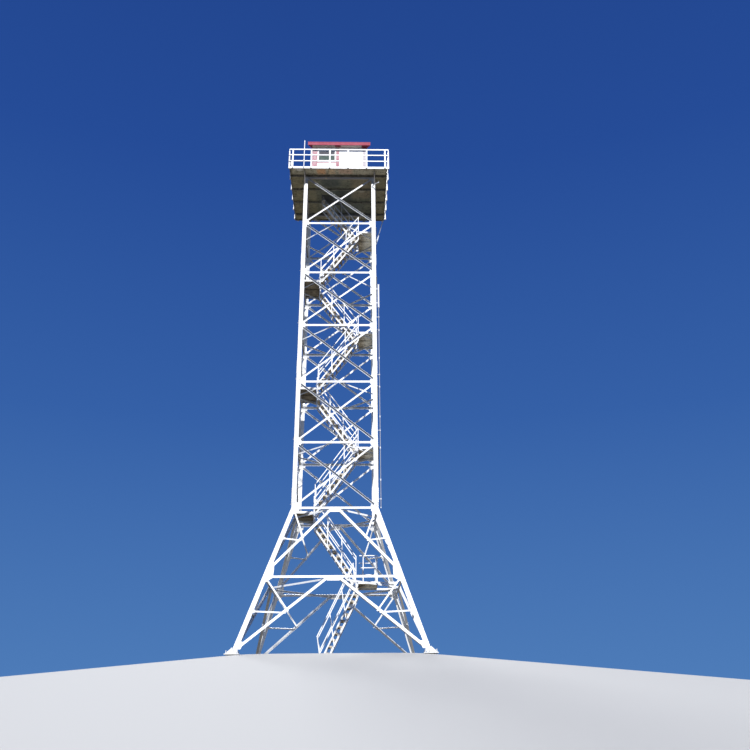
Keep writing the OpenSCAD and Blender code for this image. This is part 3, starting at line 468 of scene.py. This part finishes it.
M["lamp_tan"] = painted("lamp_tan", (0.62, 0.52, 0.34), grime_amt=0.3, rust_amt=0.2, rough=0.4)

BY_NODE = {
    "left_landings": "left_landing_plate", "right_landings": "right_landing_plate",
    "red_trim": "strip_paint", "cable_conduit": "conduit_dull",
    "front_upper_bracing": "front_bracing_steel",
}
for name, o in nodes.items():
    for s in o.material_slots:
        n = s.material.name if s.material else ""
        key = BY_NODE.get(name)
        if key is None:
            for k in M:
                if n == k or n.startswith(k + "."):
                    key = k
        if key is not None:
            s.material = M[key]
        else:
            print("no finish for", name, n)

# ---------------------------------------------------------------- mesh helpers
class Batch:
    """collects many small solids into one mesh"""
    def __init__(self):
        self.v, self.f, self.n = [], [], 0

    def add(self, verts, faces):
        self.v.extend(verts)
        n = self.n
        self.f.extend(tuple(i + n for i in f) for f in faces)
        self.n += len(verts)

    def make(self, name, mat, slot=None, smooth=False):
        me = bpy.data.meshes.new(name)
        me.from_pydata([tuple(p) for p in self.v], [], self.f)
        me.update()
        if smooth:
            for p in me.polygons:
                p.use_smooth = True
        o = bpy.data.objects.new(name, me)
        bpy.context.scene.collection.objects.link(o)
        me.materials.append(M[mat])
        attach(o, "root")
        return o

def axes_of(a):
    a = Vector(a).normalized()
    t = Vector((0, 0, 1)) if abs(a.z) < 0.9 else Vector((1, 0, 0))
    u = a.cross(t).normalized()
    return u, a.cross(u), a

def prism(b, c, axis, r, h, n=6, r2=None, bottom=False, phase=0.0):
    """n-sided prism or frustum from c along axis"""
    u, w, a = axes_of(axis)
    c = Vector(c)
    r2 = r if r2 is None else r2
    vs = []
    for k, rr in ((0, r), (h, r2)):
        for i in range(n):
            t = 2 * math.pi * i / n + phase
            vs.append(c + a * k + (u * math.cos(t) + w * math.sin(t)) * rr)
    fs = [(i, (i + 1) % n, (i + 1) % n + n, i + n) for i in range(n)]
    fs.append(tuple(range(n, 2 * n)))
    if bottom:
        fs.append(tuple(range(n - 1, -1, -1)))
    b.add(vs, fs)

def tube(b, p, q, r, n=12):
    d = Vector(q) - Vector(p)
    prism(b, p, d, r, d.length, n, bottom=True)

BOX_F = [(0, 3, 2, 1), (4, 5, 6, 7), (0, 1, 5, 4), (1, 2, 6, 5), (2, 3, 7, 6), (3, 0, 4, 7)]
def box(b, x0, x1, y0, y1, z0, z1):
    b.add([(x0, y0, z0), (x1, y0, z0), (x1, y1, z0), (x0, y1, z0), (x0, y0, z1), (x1, y0, z1), (x1, y1, z1), (x0, y1, z1)], BOX_F)

def hexa(b, pts):
    """box-like solid from four lower and four upper corners, both counter-clockwise from above"""
    b.add(pts, BOX_F)

def strip(b, p, q, out, w, t):
    """flat bar from p to q, w wide and t thick, its face turned to out"""
    p, q, out = Vector(p), Vector(q), Vector(out).normalized()
    d = (q - p).normalized()
    s = d.cross(out).normalized() * (w / 2)
    o = out * t
    hexa(b, [p - s, p + s, q + s, q - s, p - s + o, p + s + o, q + s + o, q - s + o])

def bolt(b, c, axis, r=0.018, h=0.013, washer=True):
    a = Vector(axis).normalized()
    c = Vector(c)
    if washer:
        prism(b, c, a, r * 1.35, 0.003, 10)
        c = c + a * 0.003
    prism(b, c, a, r, h, 6, phase=random.random() * 1.05)

def turn(k, p):
    """p turned by k quarter turns about the tower's axis"""
    x, y, z = p
    for _ in range(k % 4):
        x, y = -y, x
    return Vector((x, y, z))

ST, CT = math.sin(TILT), math.cos(TILT)
def flare(k, x, y, v):
    return turn(k, (x, y * CT + v * ST - B0, -y * ST + v * CT + BASE))
def flare_dir(k):
    return turn(k, (0, -CT, ST))
def flat(k, x, y, z):
    return turn(k, (x, y - B2, z))
def flat_dir(k):
    return turn(k, (0, -1, 0))

# ---------------------------------------------------------------- bolts of the flared bays
def flared_bolts():
    b = Batch()
    for k in range(4):
        n = flare_dir(k)
        for s in (-1, 1):
            # both panels: foot and head of the main diagonal, secondary members
            for (fv, fi, hx, hv, rv, rd, ov, od) in (
                    (0.240, 0.215, 0.255, V1 - 0.050, V1 - 0.104, (0.139, 0.015), 1.642, (0.037, 0.070)),
                    (V1 + 0.440, 0.190, 0.165, SLOPE - 0.050, SLOPE - 0.163, (0.046, 0.051), V1 + 1.746, (-0.029, 0.155))):
                foot = Vector((s * (flare_half(fv) - fi), fv))
                head = Vector((s * hx, hv))
                d = (head - foot).normalized()
                mid = (foot + head) / 2
                for t in (0.03, 0.09, 0.15):
                    q = foot + d * t
                    bolt(b, flare(k, q.x, G0, q.y), n)
                for t in (0.03, 0.10):
                    q = head - d * t
                    bolt(b, flare(k, q.x, G0, q.y), n)
                # lap bolts at the diagonal's middle
                for t in (-0.05, 0.05):
                    q = mid + d * t
                    bolt(b, flare(k, q.x, G1 - 0.001, q.y), n, 0.015, 0.011)
                a = Vector((s * (flare_half(ov) - 0.215), ov))
                bolt(b, flare(k, a.x, G0, a.y), n, 0.015, 0.011)
                for dv in (-0.045, 0.045):
                    bolt(b, flare(k, s * (flare_half(ov + dv) - 0.085), 0.0, ov + dv), n)
            # leg bolts of the node gussets
            rows = [0.17, 0.26, 0.35, 0.44]
            rows += [V1 + t for t in (-0.19, -0.10, 0.0, 0.10, 0.20, 0.30, 0.40, 0.50, 0.60)]
            rows += [SLOPE - t for t in (0.27, 0.19, 0.11)]
            for v in rows:
                for c in (0.075, 0.150):
                    bolt(b, flare(k, s * (flare_half(v) - c), 0.0, v), n)
            h1 = flare_half(V1)
            for t in (0.240, 0.310, 0.380):
                bolt(b, flare(k, s * (h1 - t), G0, V1), n, 0.016, 0.012)
            for t in (0.245, 0.305):
                bolt(b, flat(k, s * (B2 - t), G0 + 0.001, level(2)), flat_dir(k), 0.016, 0.012)
        for x in (-0.20, -0.07, 0.07, 0.20):
            bolt(b, flare(k, x, G0, V1 - 0.005), n, 0.015, 0.011)
    return b.make("bolts_flared_bays", "bolt_steel", "white_steel")

def straight_bolts():
    out = []
    for half, ks in (("front_back", (0, 2)), ("sides", (1, 3))):
        b = Batch()
        for k in ks:
            n = flat_dir(k)
            for s in (-1, 1):
                for l in range(3, 8):
                    z = level(l)
                    for dz in (-0.195, -0.10, 0.0, 0.10, 0.195):
                        for c in (0.075, 0.150):
                            bolt(b, flat(k, s * (B2 - c), 0.0, z + dz), n)
                    for c in (0.240, 0.305):
                        bolt(b, flat(k, s * (B2 - c), G0, z), n, 0.016, 0.012)
                for dz in (0.10, 0.18):
                    bolt(b, flat(k, s * (B2 - 0.075), 0.0, level(2) + dz), n)
                    bolt(b, flat(k, s * (B2 - 0.150), 0.0, level(2) + dz), n)
                    bolt(b, flat(k, s * (B2 - 0.075), 0.0, TOP - dz - 0.03), n)
                    bolt(b, flat(k, s * (B2 - 0.150), 0.0, TOP - dz - 0.03), n)
                # splice cover plates
                for z in SPLICES:
                    for i in range(8):
                        for c in (0.055, 0.145):
                            bolt(b, flat(k, s * (B2 - c), -0.010, z - 0.29 + i * 0.0829), n, 0.017, 0.012)
            # braces: ends and crossing
            u = B2 - 0.215
            for l in range(2, 8):
                za, zb = level(l), level(l + 1)
                lo, hi = Vector((-u, za + 0.15)), Vector((u, zb - 0.15))
                d = (hi - lo).normalized()
                for q in (lo + d * 0.022, hi - d * 0.022):
                    bolt(b, flat(k, q.x, G0, q.y), n, 0.016, 0.012)
                lo, hi = Vector((u, za + 0.15)), Vector((-u, zb - 0.15))
                d = (hi - lo).normalized()
                for t in (0.03, 0.09):
                    for q in (lo + d * t, hi - d * t):
                        bolt(b, flat(k, q.x, G0 - 0.009, q.y), n, 0.016, 0.012)
                bolt(b, flat(k, 0.0, G0 - 0.009, (za + zb) / 2), n, 0.017, 0.012)
        out.append(b.make("bolts_straight_bays_" + half, "bolt_steel", "white_steel"))
    return out

def anchors():
    b = Batch()
    c0 = half_at(0.030) - 0.060
    for sx in (-1, 1):
        for sy in (-1, 1):
            for i in (-1, 1):
                for j in (-1, 1):
                    x, y = sx * c0 + i * 0.22, sy * c0 + j * 0.22
                    tube(b, (x, y, 0.004), (x, y, 0.150), 0.0165, 14)
                    prism(b, (x, y, 0.0302), (0, 0, 1), 0.040, 0.006, 20)
                    prism(b, (x, y, 0.0362), (0, 0, 1), 0.029, 0.027, 6, phase=random.random())
                    prism(b, (x, y, 0.0632), (0, 0, 1), 0.029, 0.018, 6, phase=random.random())
    return b.make("anchor_bolts", "bolt_steel", "foot_steel")

flared_bolts()
straight_bolts()
anchors()

# ---------------------------------------------------------------- stair
L = 1.050
YI, YO = 0.100, 0.950
RISES, LEAN = 12, math.radians(9.2)
def f_top(k):
    return FLOOR if k == 8 else level(k) + 0.056
def f_base(k):
    return f_top(1) - BAY if k == 1 else level(k - 1) + 0.056
def going():
    return (2 * L - 0.078) / (RISES - 1)
def grade(k):
    return (f_top(k) - f_base(k)) / RISES / going()
def nose(k, x, o):
    return f_top(k) - grade(k) * (L - x) - o * math.sqrt(1 + grade(k) ** 2)
def in_flight(k, x, z):
    if k == 1:
        dx, dz = x - L, z - f_top(1)
        x, z = L + dx * math.cos(LEAN) - dz * math.sin(LEAN), f_top(1) + dx * math.sin(LEAN) + dz * math.cos(LEAN)
    return (x if k % 2 else -x), z

def stair_bolts():
    b = Batch()
    for k in range(1, 9):
        side = -1 if k % 2 else 1
        if k == 1:
            rise = f_top(1) / RISES
            go = rise / math.tan(math.atan(grade(1)) + LEAN)
        else:
            rise, go = (f_top(k) - f_base(k)) / RISES, going()
        for i in range(1, RISES):
            x = L - (RISES - i) * go
            z = f_top(k) - (RISES - i) * rise
            for (dx, dz) in ((0.016, -0.036), (0.190, -0.165)):
                xx, zz = x + dx, z + dz
                if k == 1:
                    if dx > 0.1:
                        continue
                if k % 2 == 0:
                    xx = -xx
                for y, d in ((side * YI, -side), (side * YO, side)):
                    bolt(b, (xx, y, zz), (0, d, 0), 0.013, 0.010)
    # landing edge bolts and the bolts that hold the posts
    for k in range(1, 8):
        s = 1 if k % 2 else -1
        z = level(k) - 0.042
        for i in range(6):
            x = s * (1.12 + i * 0.142)
            for y in (-1, 1):
                bolt(b, (x, y * 1.0, z + 0.050), (0, y, 0), 0.013, 0.010)
        xo = 1.900 if k == 1 else 1.893
        for i in range(12):
            bolt(b, (s * xo, -0.90 + i * 0.1636, z + 0.050), (s, 0, 0), 0.013, 0.010)
    return b.make("bolts_stair", "bolt_steel", "white_steel")
stair_bolts()

# ---------------------------------------------------------------- platform
MID = (0.023, -0.070, -0.023, 0.070)
EDGE = (PW, PWX, PW, PWX)
OFF = (0.0, SIDE_OFF, 0.0, 0.0)
DEEP = (POST, SIDE_POST, POST, SIDE_POST)
def posts(k):
    return [MID[k] + (i - 2.5) * PITCH for i in range(6)]
def plat(k, x, y, z):
    p = turn(k, (x, y, z))
    return Vector((p.x + PX, p.y, p.z))

def platform_fittings():
    b = Batch()
    # deck bolts beside the joists, seen from below
    for y in JOISTS:
        for i in range(13):
            x = -2.40 + i * 0.40
            if y == 0.640 and -1.1 < x < 0.14:
                continue
            bolt(b, (x + PX, y + 0.055, DECK), (0, 0, -1), 0.014, 0.011)
    # edge bolts of the toe plates and the post feet
    for k in range(4):
        n = flat_dir(k)
        for x in posts(k):
            for z in (DECK - 0.035, DECK + 0.045):
                bolt(b, plat(k, x, -EDGE[k] - OFF[k] - DEEP[k], z), n, 0.014, 0.010)
        for i in range(20):
            x = -2.44 + i * 0.257
            if min(abs(x - c) for c in posts(k)) < 0.08:
                continue
            bolt(b, plat(k, x, -EDGE[k] - 0.006, DECK - 0.030), n, 0.011, 0.008)
    # bolts of the knee braces' plates
    for k in (0, 2):
        for s in (-1, 1):
            x = s * (B2 - 0.040)
            for z in (TOP - 0.560, TOP - 0.430):
                bolt(b, flat(k, x, -0.0105, z), flat_dir(k), 0.013, 0.009)
    b.make("bolts_platform", "bolt_steel", "rail_paint")
    # post caps, inside the rails' line
    c = Batch()
    for k in range(4):
        for x in posts(k):
            y = -EDGE[k] - DEEP[k] / 2 - OFF[k]
            z = DECK - 0.060 + RAIL_H + 0.052
            h, g = POST / 2, DEEP[k] / 2
            pts = [plat(k, *p) for p in ((x - h, y - g, z), (x + h, y - g, z), (x + h, y + g, z), (x - h, y + g, z),
                                        (x - h * 0.5, y - g * 0.5, z + 0.007), (x + h * 0.5, y - g * 0.5, z + 0.007),
                                        (x + h * 0.5, y + g * 0.5, z + 0.007), (x - h * 0.5, y + g * 0.5, z + 0.007))]
            hexa(c, pts)
    c.make("post_caps", "rail_paint", "rail_paint")
    # small tan clamp under the head strut, and the short cable arm at the front right leg
    t = Batch()
    prism(t, (-0.745, -B2 - 0.004, TOP - 0.105), (0, -1, 0), 0.045, 0.05, 16)
    t.make("strut_clamp", "lamp_tan", "conduit_paint")
    a = Batch()
    box(a, B2 - 0.16, B2 - 0.08, -B2 - 0.012, -B2 - 0.0005, TOP - 0.60, TOP - 0.47)
    pts = [Vector((1.780, -1.965, TOP - 0.630)), Vector((1.866, -2.060, TOP - 0.604)), Vector((1.982, -2.190, TOP - 0.609)), Vector((2.098, -2.320, TOP - 0.628))]
    for p, q in zip(pts, pts[1:]):
        tube(a, p, q + (q - p).normalized() * 0.006, 0.024, 12)
    prism(a, pts[-1], pts[-1] - pts[-2], 0.032, 0.03, 14, bottom=True)
    a.make("cable_arm", "conduit_paint", "conduit_paint")
platform_fittings()

def conduit_fittings():
    b = Batch()
    x, y = B2 + 0.120, -B2 + 0.175
    z0, z1 = level(2) + 0.04, level(6) - 0.64
    # couplings of the conduit and strap ends at its supports
    z = z0 + 1.2
    while z < z1:
        prism(b, (x, y, z), (0, 0, 1), 0.027, 0.09, 16, bottom=True)
        z += 1.5
    for z in (level(2) + 0.40, level(3) + 0.60, level(4) + 0.40, level(5) + 0.50):
        prism(b, (x, y, z - 0.012), (0, 0, 1), 0.031, 0.054, 16, bottom=True)
    for z in (level(5) + 1.055, level(5) + 2.335):
        prism(b, (x, y, z), (0, 0, 1), 0.056, 0.03, 20, bottom=True)
    # sleeve over the lower part of the cable that runs to the platform's back corner
    p, q = Vector((B2 + 0.040, B2 - 0.060, level(7) + 0.700)), Vector((2.530, 2.480, DECK - 0.095))
    last = None
    for i in range(9):
        t = 0.015 + i * 0.058
        c = p.lerp(q, t) + Vector((0.012, -0.012, 0.0)) * math.sin(math.pi * i / 8)
        if last is not None:
            tube(b, last, c + (c - last).normalized() * 0.004, 0.044, 14)
        last = c
    # rod tips
    prism(b, (x, y, z0 - 0.03), (0, 0, 1), 0.026, 0.05, 16, bottom=True)
    b.make("conduit_fittings", "conduit_paint", "conduit_paint")
conduit_fittings()

# ---------------------------------------------------------------- cabin
def cab(k, x, y, z):
    """point on cabin side k: x along the wall, y inwards from the wall's outer face, z above the floor"""
    p = turn(k, (x, y - CW, z + FLOOR))
    return Vector((p.x + CX, p.y, p.z))

def cab_box(b, k, x0, x1, y0, y1, z0, z1):
    hexa(b, [cab(k, x0, y0, z0), cab(k, x1, y0, z0), cab(k, x1, y1, z0), cab(k, x0, y1, z0),
             cab(k, x0, y0, z1), cab(k, x1, y0, z1), cab(k, x1, y1, z1), cab(k, x0, y1, z1)])

def cabin_fittings():
    # corner flashings and base flashing
    w = Batch()
    for k in range(4):
        for s in (-1, 1):
            if k == 0 and s == -1:
                continue
            a, c = sorted((s * CW, s * (CW - 0.075)))
            if k == 0 and s == 1:
                continue
            cab_box(w, k, a, c, -0.003, -0.0003, 0.0, WALL_H - 0.01)
        spans = [(-CW, CW)] if k != 2 else [(-CW, DOOR[0] - 0.05), (DOOR[1] + 0.05, CW)]
        if k == 0:
            spans = [(0.008, CW - 0.165)]
        for a, c in spans:
            cab_box(w, k, a, c, -0.006, -0.0032, 0.0, 0.085)
        # sill plate with a drip edge, head flashing, casing around the window
        x0, x1 = WIN[0]
        z0, z1 = WIN[1]
        if k:
            cab_box(w, k, x0 - 0.03, x1 + 0.03, -0.040, -0.0003, z0 - 0.032, z0 - 0.012)
            cab_box(w, k, x0 - 0.03, x1 + 0.03, -0.024, -0.0003, z1 + 0.004, z1 + 0.022)
            cab_box(w, k, x0 - 0.045, x0, -0.014, -0.0003, z0 - 0.012, z1 + 0.004)
            cab_box(w, k, x1, x1 + 0.045, -0.014, -0.0003, z0 - 0.012, z1 + 0.004)
        else:
            cab_box(w, k, x0 - 0.018, x1 + 0.020, -0.036, -0.0003, z0 - 0.030, z0 - 0.010)
            cab_box(w, k, x0 - 0.018, x1 + 0.020, -0.020, -0.0003, z1 + 0.004, z1 + 0.020)
    w.make("cabin_flashings", "frame_paint", "frame_paint")
    # marked strip at the front's right corner
    c = Batch()
    cab_box(c, 0, CW - 0.165, CW, -0.004, -0.0003, 0.0, WALL_H - 0.01)
    c.make("corner_strip", "corner_paint", "wall_panel")
    # glazing beads and dark gasket
    g, n = Batch(), Batch()
    for k in range(4):
        x0, x1 = WIN[0][0] + FRAME_W, WIN[0][1] - FRAME_W
        z0, z1 = WIN[1][0] + FRAME_W, WIN[1][1] - FRAME_W
        e = 0.007
        for (a, c_, d, f) in ((x0, x1, z0, z0 + e), (x0, x1, z1 - e, z1), (x0, x0 + e, z0 + e, z1 - e), (x1 - e, x1, z0 + e, z1 - e)):
            cab_box(g, k, a, c_, 0.018, 0.0255, d, f)
        e = 0.014
        for (a, c_, d, f) in ((x0, x1, z0, z0 + e), (x0, x1, z1 - e, z1), (x0, x0 + e, z0 + e, z1 - e), (x1 - e, x1, z0 + e, z1 - e)):
            cab_box(n, k, a, c_, 0.004, 0.0175, d, f)
    g.make("window_gaskets", "gasket", "frame_paint")
    n.make("window_beads", "frame_paint", "frame_paint")
    # door: frame, threshold, drip cap, hinges, kick plate
    d = Batch()
    cab_box(d, 2, DOOR[0] - 0.05, DOOR[0], -0.016, -0.0003, 0.0, DOOR_H + 0.05)
    cab_box(d, 2, DOOR[1], DOOR[1] + 0.05, -0.016, -0.0003, 0.0, DOOR_H + 0.05)
    cab_box(d, 2, DOOR[0], DOOR[1], -0.016, -0.0003, DOOR_H, DOOR_H + 0.05)
    cab_box(d, 2, DOOR[0] - 0.06, DOOR[1] + 0.06, -0.050, -0.0003, DOOR_H + 0.050, DOOR_H + 0.068)
    d.make("door_casing", "frame_paint", "frame_paint")
    i = Batch()
    for z in (0.22, 0.95, 1.68):
        p = cab(2, DOOR[0] + 0.004, -0.008, z)
        prism(i, p, (0, 0, 1), 0.009, 0.12, 12, bottom=True)
        cab_box(i, 2, DOOR[0] + 0.006, DOOR[0] + 0.09, 0.003, 0.0078, z + 0.01, z + 0.11)
    cab_box(i, 2, DOOR[0] + 0.02, DOOR[1] - 0.02, 0.004, 0.0078, 0.02, 0.22)
    cab_box(i, 2, DOOR[0], DOOR[1], -0.03, 0.0078, 0.0002, 0.0075)
    cab_box(i, 2, DOOR[1] - 0.135, DOOR[1] - 0.06, 0.004, 0.0078, 0.93, 1.17)
    i.make("door_ironwork", "door_iron", "door_paint")
cabin_fittings()

def plan(i):
    vx = VIS_W - 0.045
    vn = math.hypot(vx, VIS_D)
    out = []
    for q in ((1, -1), (1, 1), (-1, 1), (-1, -1)):
        a = (CX + q[0] * (CW + VIS_W - i * (vn + vx) / VIS_D), q[1] * (CW + VIS_D - i))
        c = (CX + q[0] * (CW + 0.045 - i), q[1] * (CW + i * (vn - VIS_D) / vx))
        out += [a, c] if q[0] * q[1] < 0 else [c, a]
    return out

def roof_fittings():
    # standing ribs down the four slopes, hip caps, an eaves trim round the sheet's edge
    b = Batch()
    o = CW + 0.045
    rise = 0.380
    z0 = ROOF_Z + 0.009
    th = math.atan2(rise, o)
    for k in range(4):
        nrm = turn(k, (0, -math.sin(th), math.cos(th)))
        for j in range(-3, 4):
            x = j * 0.42
            if abs(x) > o - 0.12:
                continue
            # from the eaves to just short of the hip
            t = 1 - (abs(x) + 0.05) / o
            if j == 0:
                t = 0.93
            p = turn(k, (x, -o + 0.004, z0 + 0.001))
            q = turn(k, (x, -o + o * t, z0 + rise * t))
            strip(b, Vector((p.x + CX, p.y, p.z)), Vector((q.x + CX, q.y, q.z)), nrm, 0.030, 0.022)
        # hip cap
        h = turn(k, (1, -1, 0)).normalized()
        p = Vector((CX, 0, 0)) + turn(k, (o - 0.01, -o + 0.01, z0 + 0.002))
        q = Vector((CX, 0, 0)) + turn(k, (0.12, -0.12, z0 + rise * (1 - 0.12 / o)))
        strip(b, p, q, (h.x * 0.17, h.y * 0.17, 1), 0.110, 0.014)
    b.make("roof_ribs", "roof_sheet", "roof_sheet")
    # drip edge under the sheet, on the fascia's face
    e = Batch()
    inner, outer = plan(0.0), plan(-0.006)
    n = len(inner)
    for i in range(n):
        j = (i + 1) % n
        for (za, zb) in ((ROOF_Z - 0.028, ROOF_Z - 0.0005), (WALL_TOP - 0.008, WALL_TOP + 0.012)):
            pts = [(*outer[i], za), (*outer[j], za), (*inner[j], za), (*inner[i], za), (*outer[i], zb), (*outer[j], zb), (*inner[j], zb), (*inner[i], zb)]
            hexa(e, pts)
    e.make("fascia_beads", "red_paint", "red_paint")
    # screws along the fascia
    s = Batch()
    for sy in (-1, 1):
        for i in range(17):
            bolt(s, (CX - 1.6 + i * 0.2, sy * (CW + VIS_D), ROOF_Z - 0.060), (0, sy, 0), 0.007, 0.004, False)
            bolt(s, (CX - 1.6 + i * 0.2, sy * (CW + VIS_D), WALL_TOP + 0.045), (0, sy, 0), 0.007, 0.004, False)
    s.make("fascia_screws", "red_paint", "red_paint")
roof_fittings()

# ---------------------------------------------------------------- camera
F_PX = 809.236
PSI, TH, ROLL = 0.029, 0.491, -0.010
cam_d = bpy.data.cameras.new("camera")
cam = bpy.data.objects.new("camera", cam_d)
bpy.context.scene.collection.objects.link(cam)
fwd = Vector((math.sin(PSI) * math.cos(TH), math.cos(PSI) * math.cos(TH), math.sin(TH)))
right = Vector((math.cos(PSI), -math.sin(PSI), 0.0))
up = right.cross(fwd)
R = math.cos(ROLL) * right + math.sin(ROLL) * up
U = -math.sin(ROLL) * right + math.cos(ROLL) * up
cam.matrix_world = Matrix((
    (R.x, U.x, -fwd.x, 0.823),
    (R.y, U.y, -fwd.y, -38.331),
    (R.z, U.z, -fwd.z, -2.357 + BASE),
    (0, 0, 0, 1)))
cam_d.sensor_width = 36.0
cam_d.lens = F_PX * 36.0 / 750.0
cam_d.shift_x = 0.0
cam_d.shift_y = (287.481 - 375.0) / 750.0
cam_d.clip_start = 0.1
cam_d.clip_end = 500.0
bpy.context.scene.camera = cam

# ---------------------------------------------------------------- stage and light
def mound():
    """Pale floor: level under the tower, falling away gently all round"""
    n_r, n_a = 40, 96
    verts, faces = [], []
    for i in range(n_r + 1):
        r = 4.35 + (i / n_r) ** 1.6 * 85.0
        for j in range(n_a):
            a = 2 * math.pi * j / n_a
            c, s = math.cos(a), math.sin(a)
            k = (abs(c) ** 5 + abs(s) ** 5) ** (-1 / 5)
            drop = -(r - 4.35) * 0.135
            verts.append((r * k * c, r * k * s, drop))
        if i:
            for j in range(n_a):
                a0, a1 = (i - 1) * n_a + j, (i - 1) * n_a + (j + 1) % n_a
                faces.append((a0, a0 + n_a, a1 + n_a, a1))
    verts.append((0, 0, 0))
    for j in range(n_a):
        faces.append((len(verts) - 1, j, (j + 1) % n_a))
    me = bpy.data.meshes.new("floor")
    me.from_pydata(verts, [], faces)
    me.update()
    o = bpy.data.objects.new("floor", me)
    bpy.context.scene.collection.objects.link(o)
    mm, nt, bsdf, tc = new_mat("floor_pale")
    bsdf.inputs["Base Color"].default_value = (0.40, 0.40, 0.38, 1)
    bsdf.inputs["Roughness"].default_value = 0.9
    me.materials.append(mm)
    # the light that comes up from the ground is set in the world instead
    o.visible_diffuse = False
    return o
mound()

bpy.context.scene.view_settings.view_transform = "Standard"
world = bpy.data.worlds.new("world")
bpy.context.scene.world = world
world.use_nodes = True
wt = world.node_tree
bg = wt.nodes["Background"]
wc = wt.nodes.new("ShaderNodeTexCoord")
ws = wt.nodes.new("ShaderNodeSeparateXYZ")
wt.links.new(wc.outputs["Generated"], ws.inputs[0])
wr = wt.nodes.new("ShaderNodeMapRange")
wr.inputs[1].default_value = -1.0
wr.inputs[2].default_value = 1.0
wt.links.new(ws.outputs[2], wr.inputs[0])
wt.links.new(ramp(wt, wr.outputs[0], [
    (0.00, (0.55, 0.49, 0.39)), (0.20, (0.22, 0.20, 0.16)), (0.33, (0.10, 0.12, 0.17)), (0.41, (0.10, 0.22, 0.47)),
    (0.52, (0.075, 0.200, 0.480)), (0.66, (0.036, 0.118, 0.385)), (0.80, (0.019, 0.072, 0.310)), (1.0, (0.012, 0.045, 0.22))]), bg.inputs[0])
bg.inputs[1].default_value = 1.0

def sun(name, strength, az, el, angle, color=(1, 1, 1)):
    d = bpy.data.lights.new(name, "SUN")
    d.energy = strength
    d.angle = math.radians(angle)
    d.color = color
    o = bpy.data.objects.new(name, d)
    # light comes from azimuth az (0 = from the front, positive = from the right) and elevation el
    az, el = math.radians(az), math.radians(el)
    v = Vector((math.sin(az) * math.cos(el), -math.cos(az) * math.cos(el), math.sin(el)))
    o.rotation_euler = v.to_track_quat("Z", "Y").to_euler()
    bpy.context.scene.collection.objects.link(o)
sun("key", 5.6, 12.5, 37.5, 2.0, (1.0, 0.98, 0.95))
sun("back", 1.9, -168, 34, 12.0, (0.97, 0.98, 1.0))
sun("side", 0.7, -92, 24, 30.0, (0.92, 0.96, 1.0))
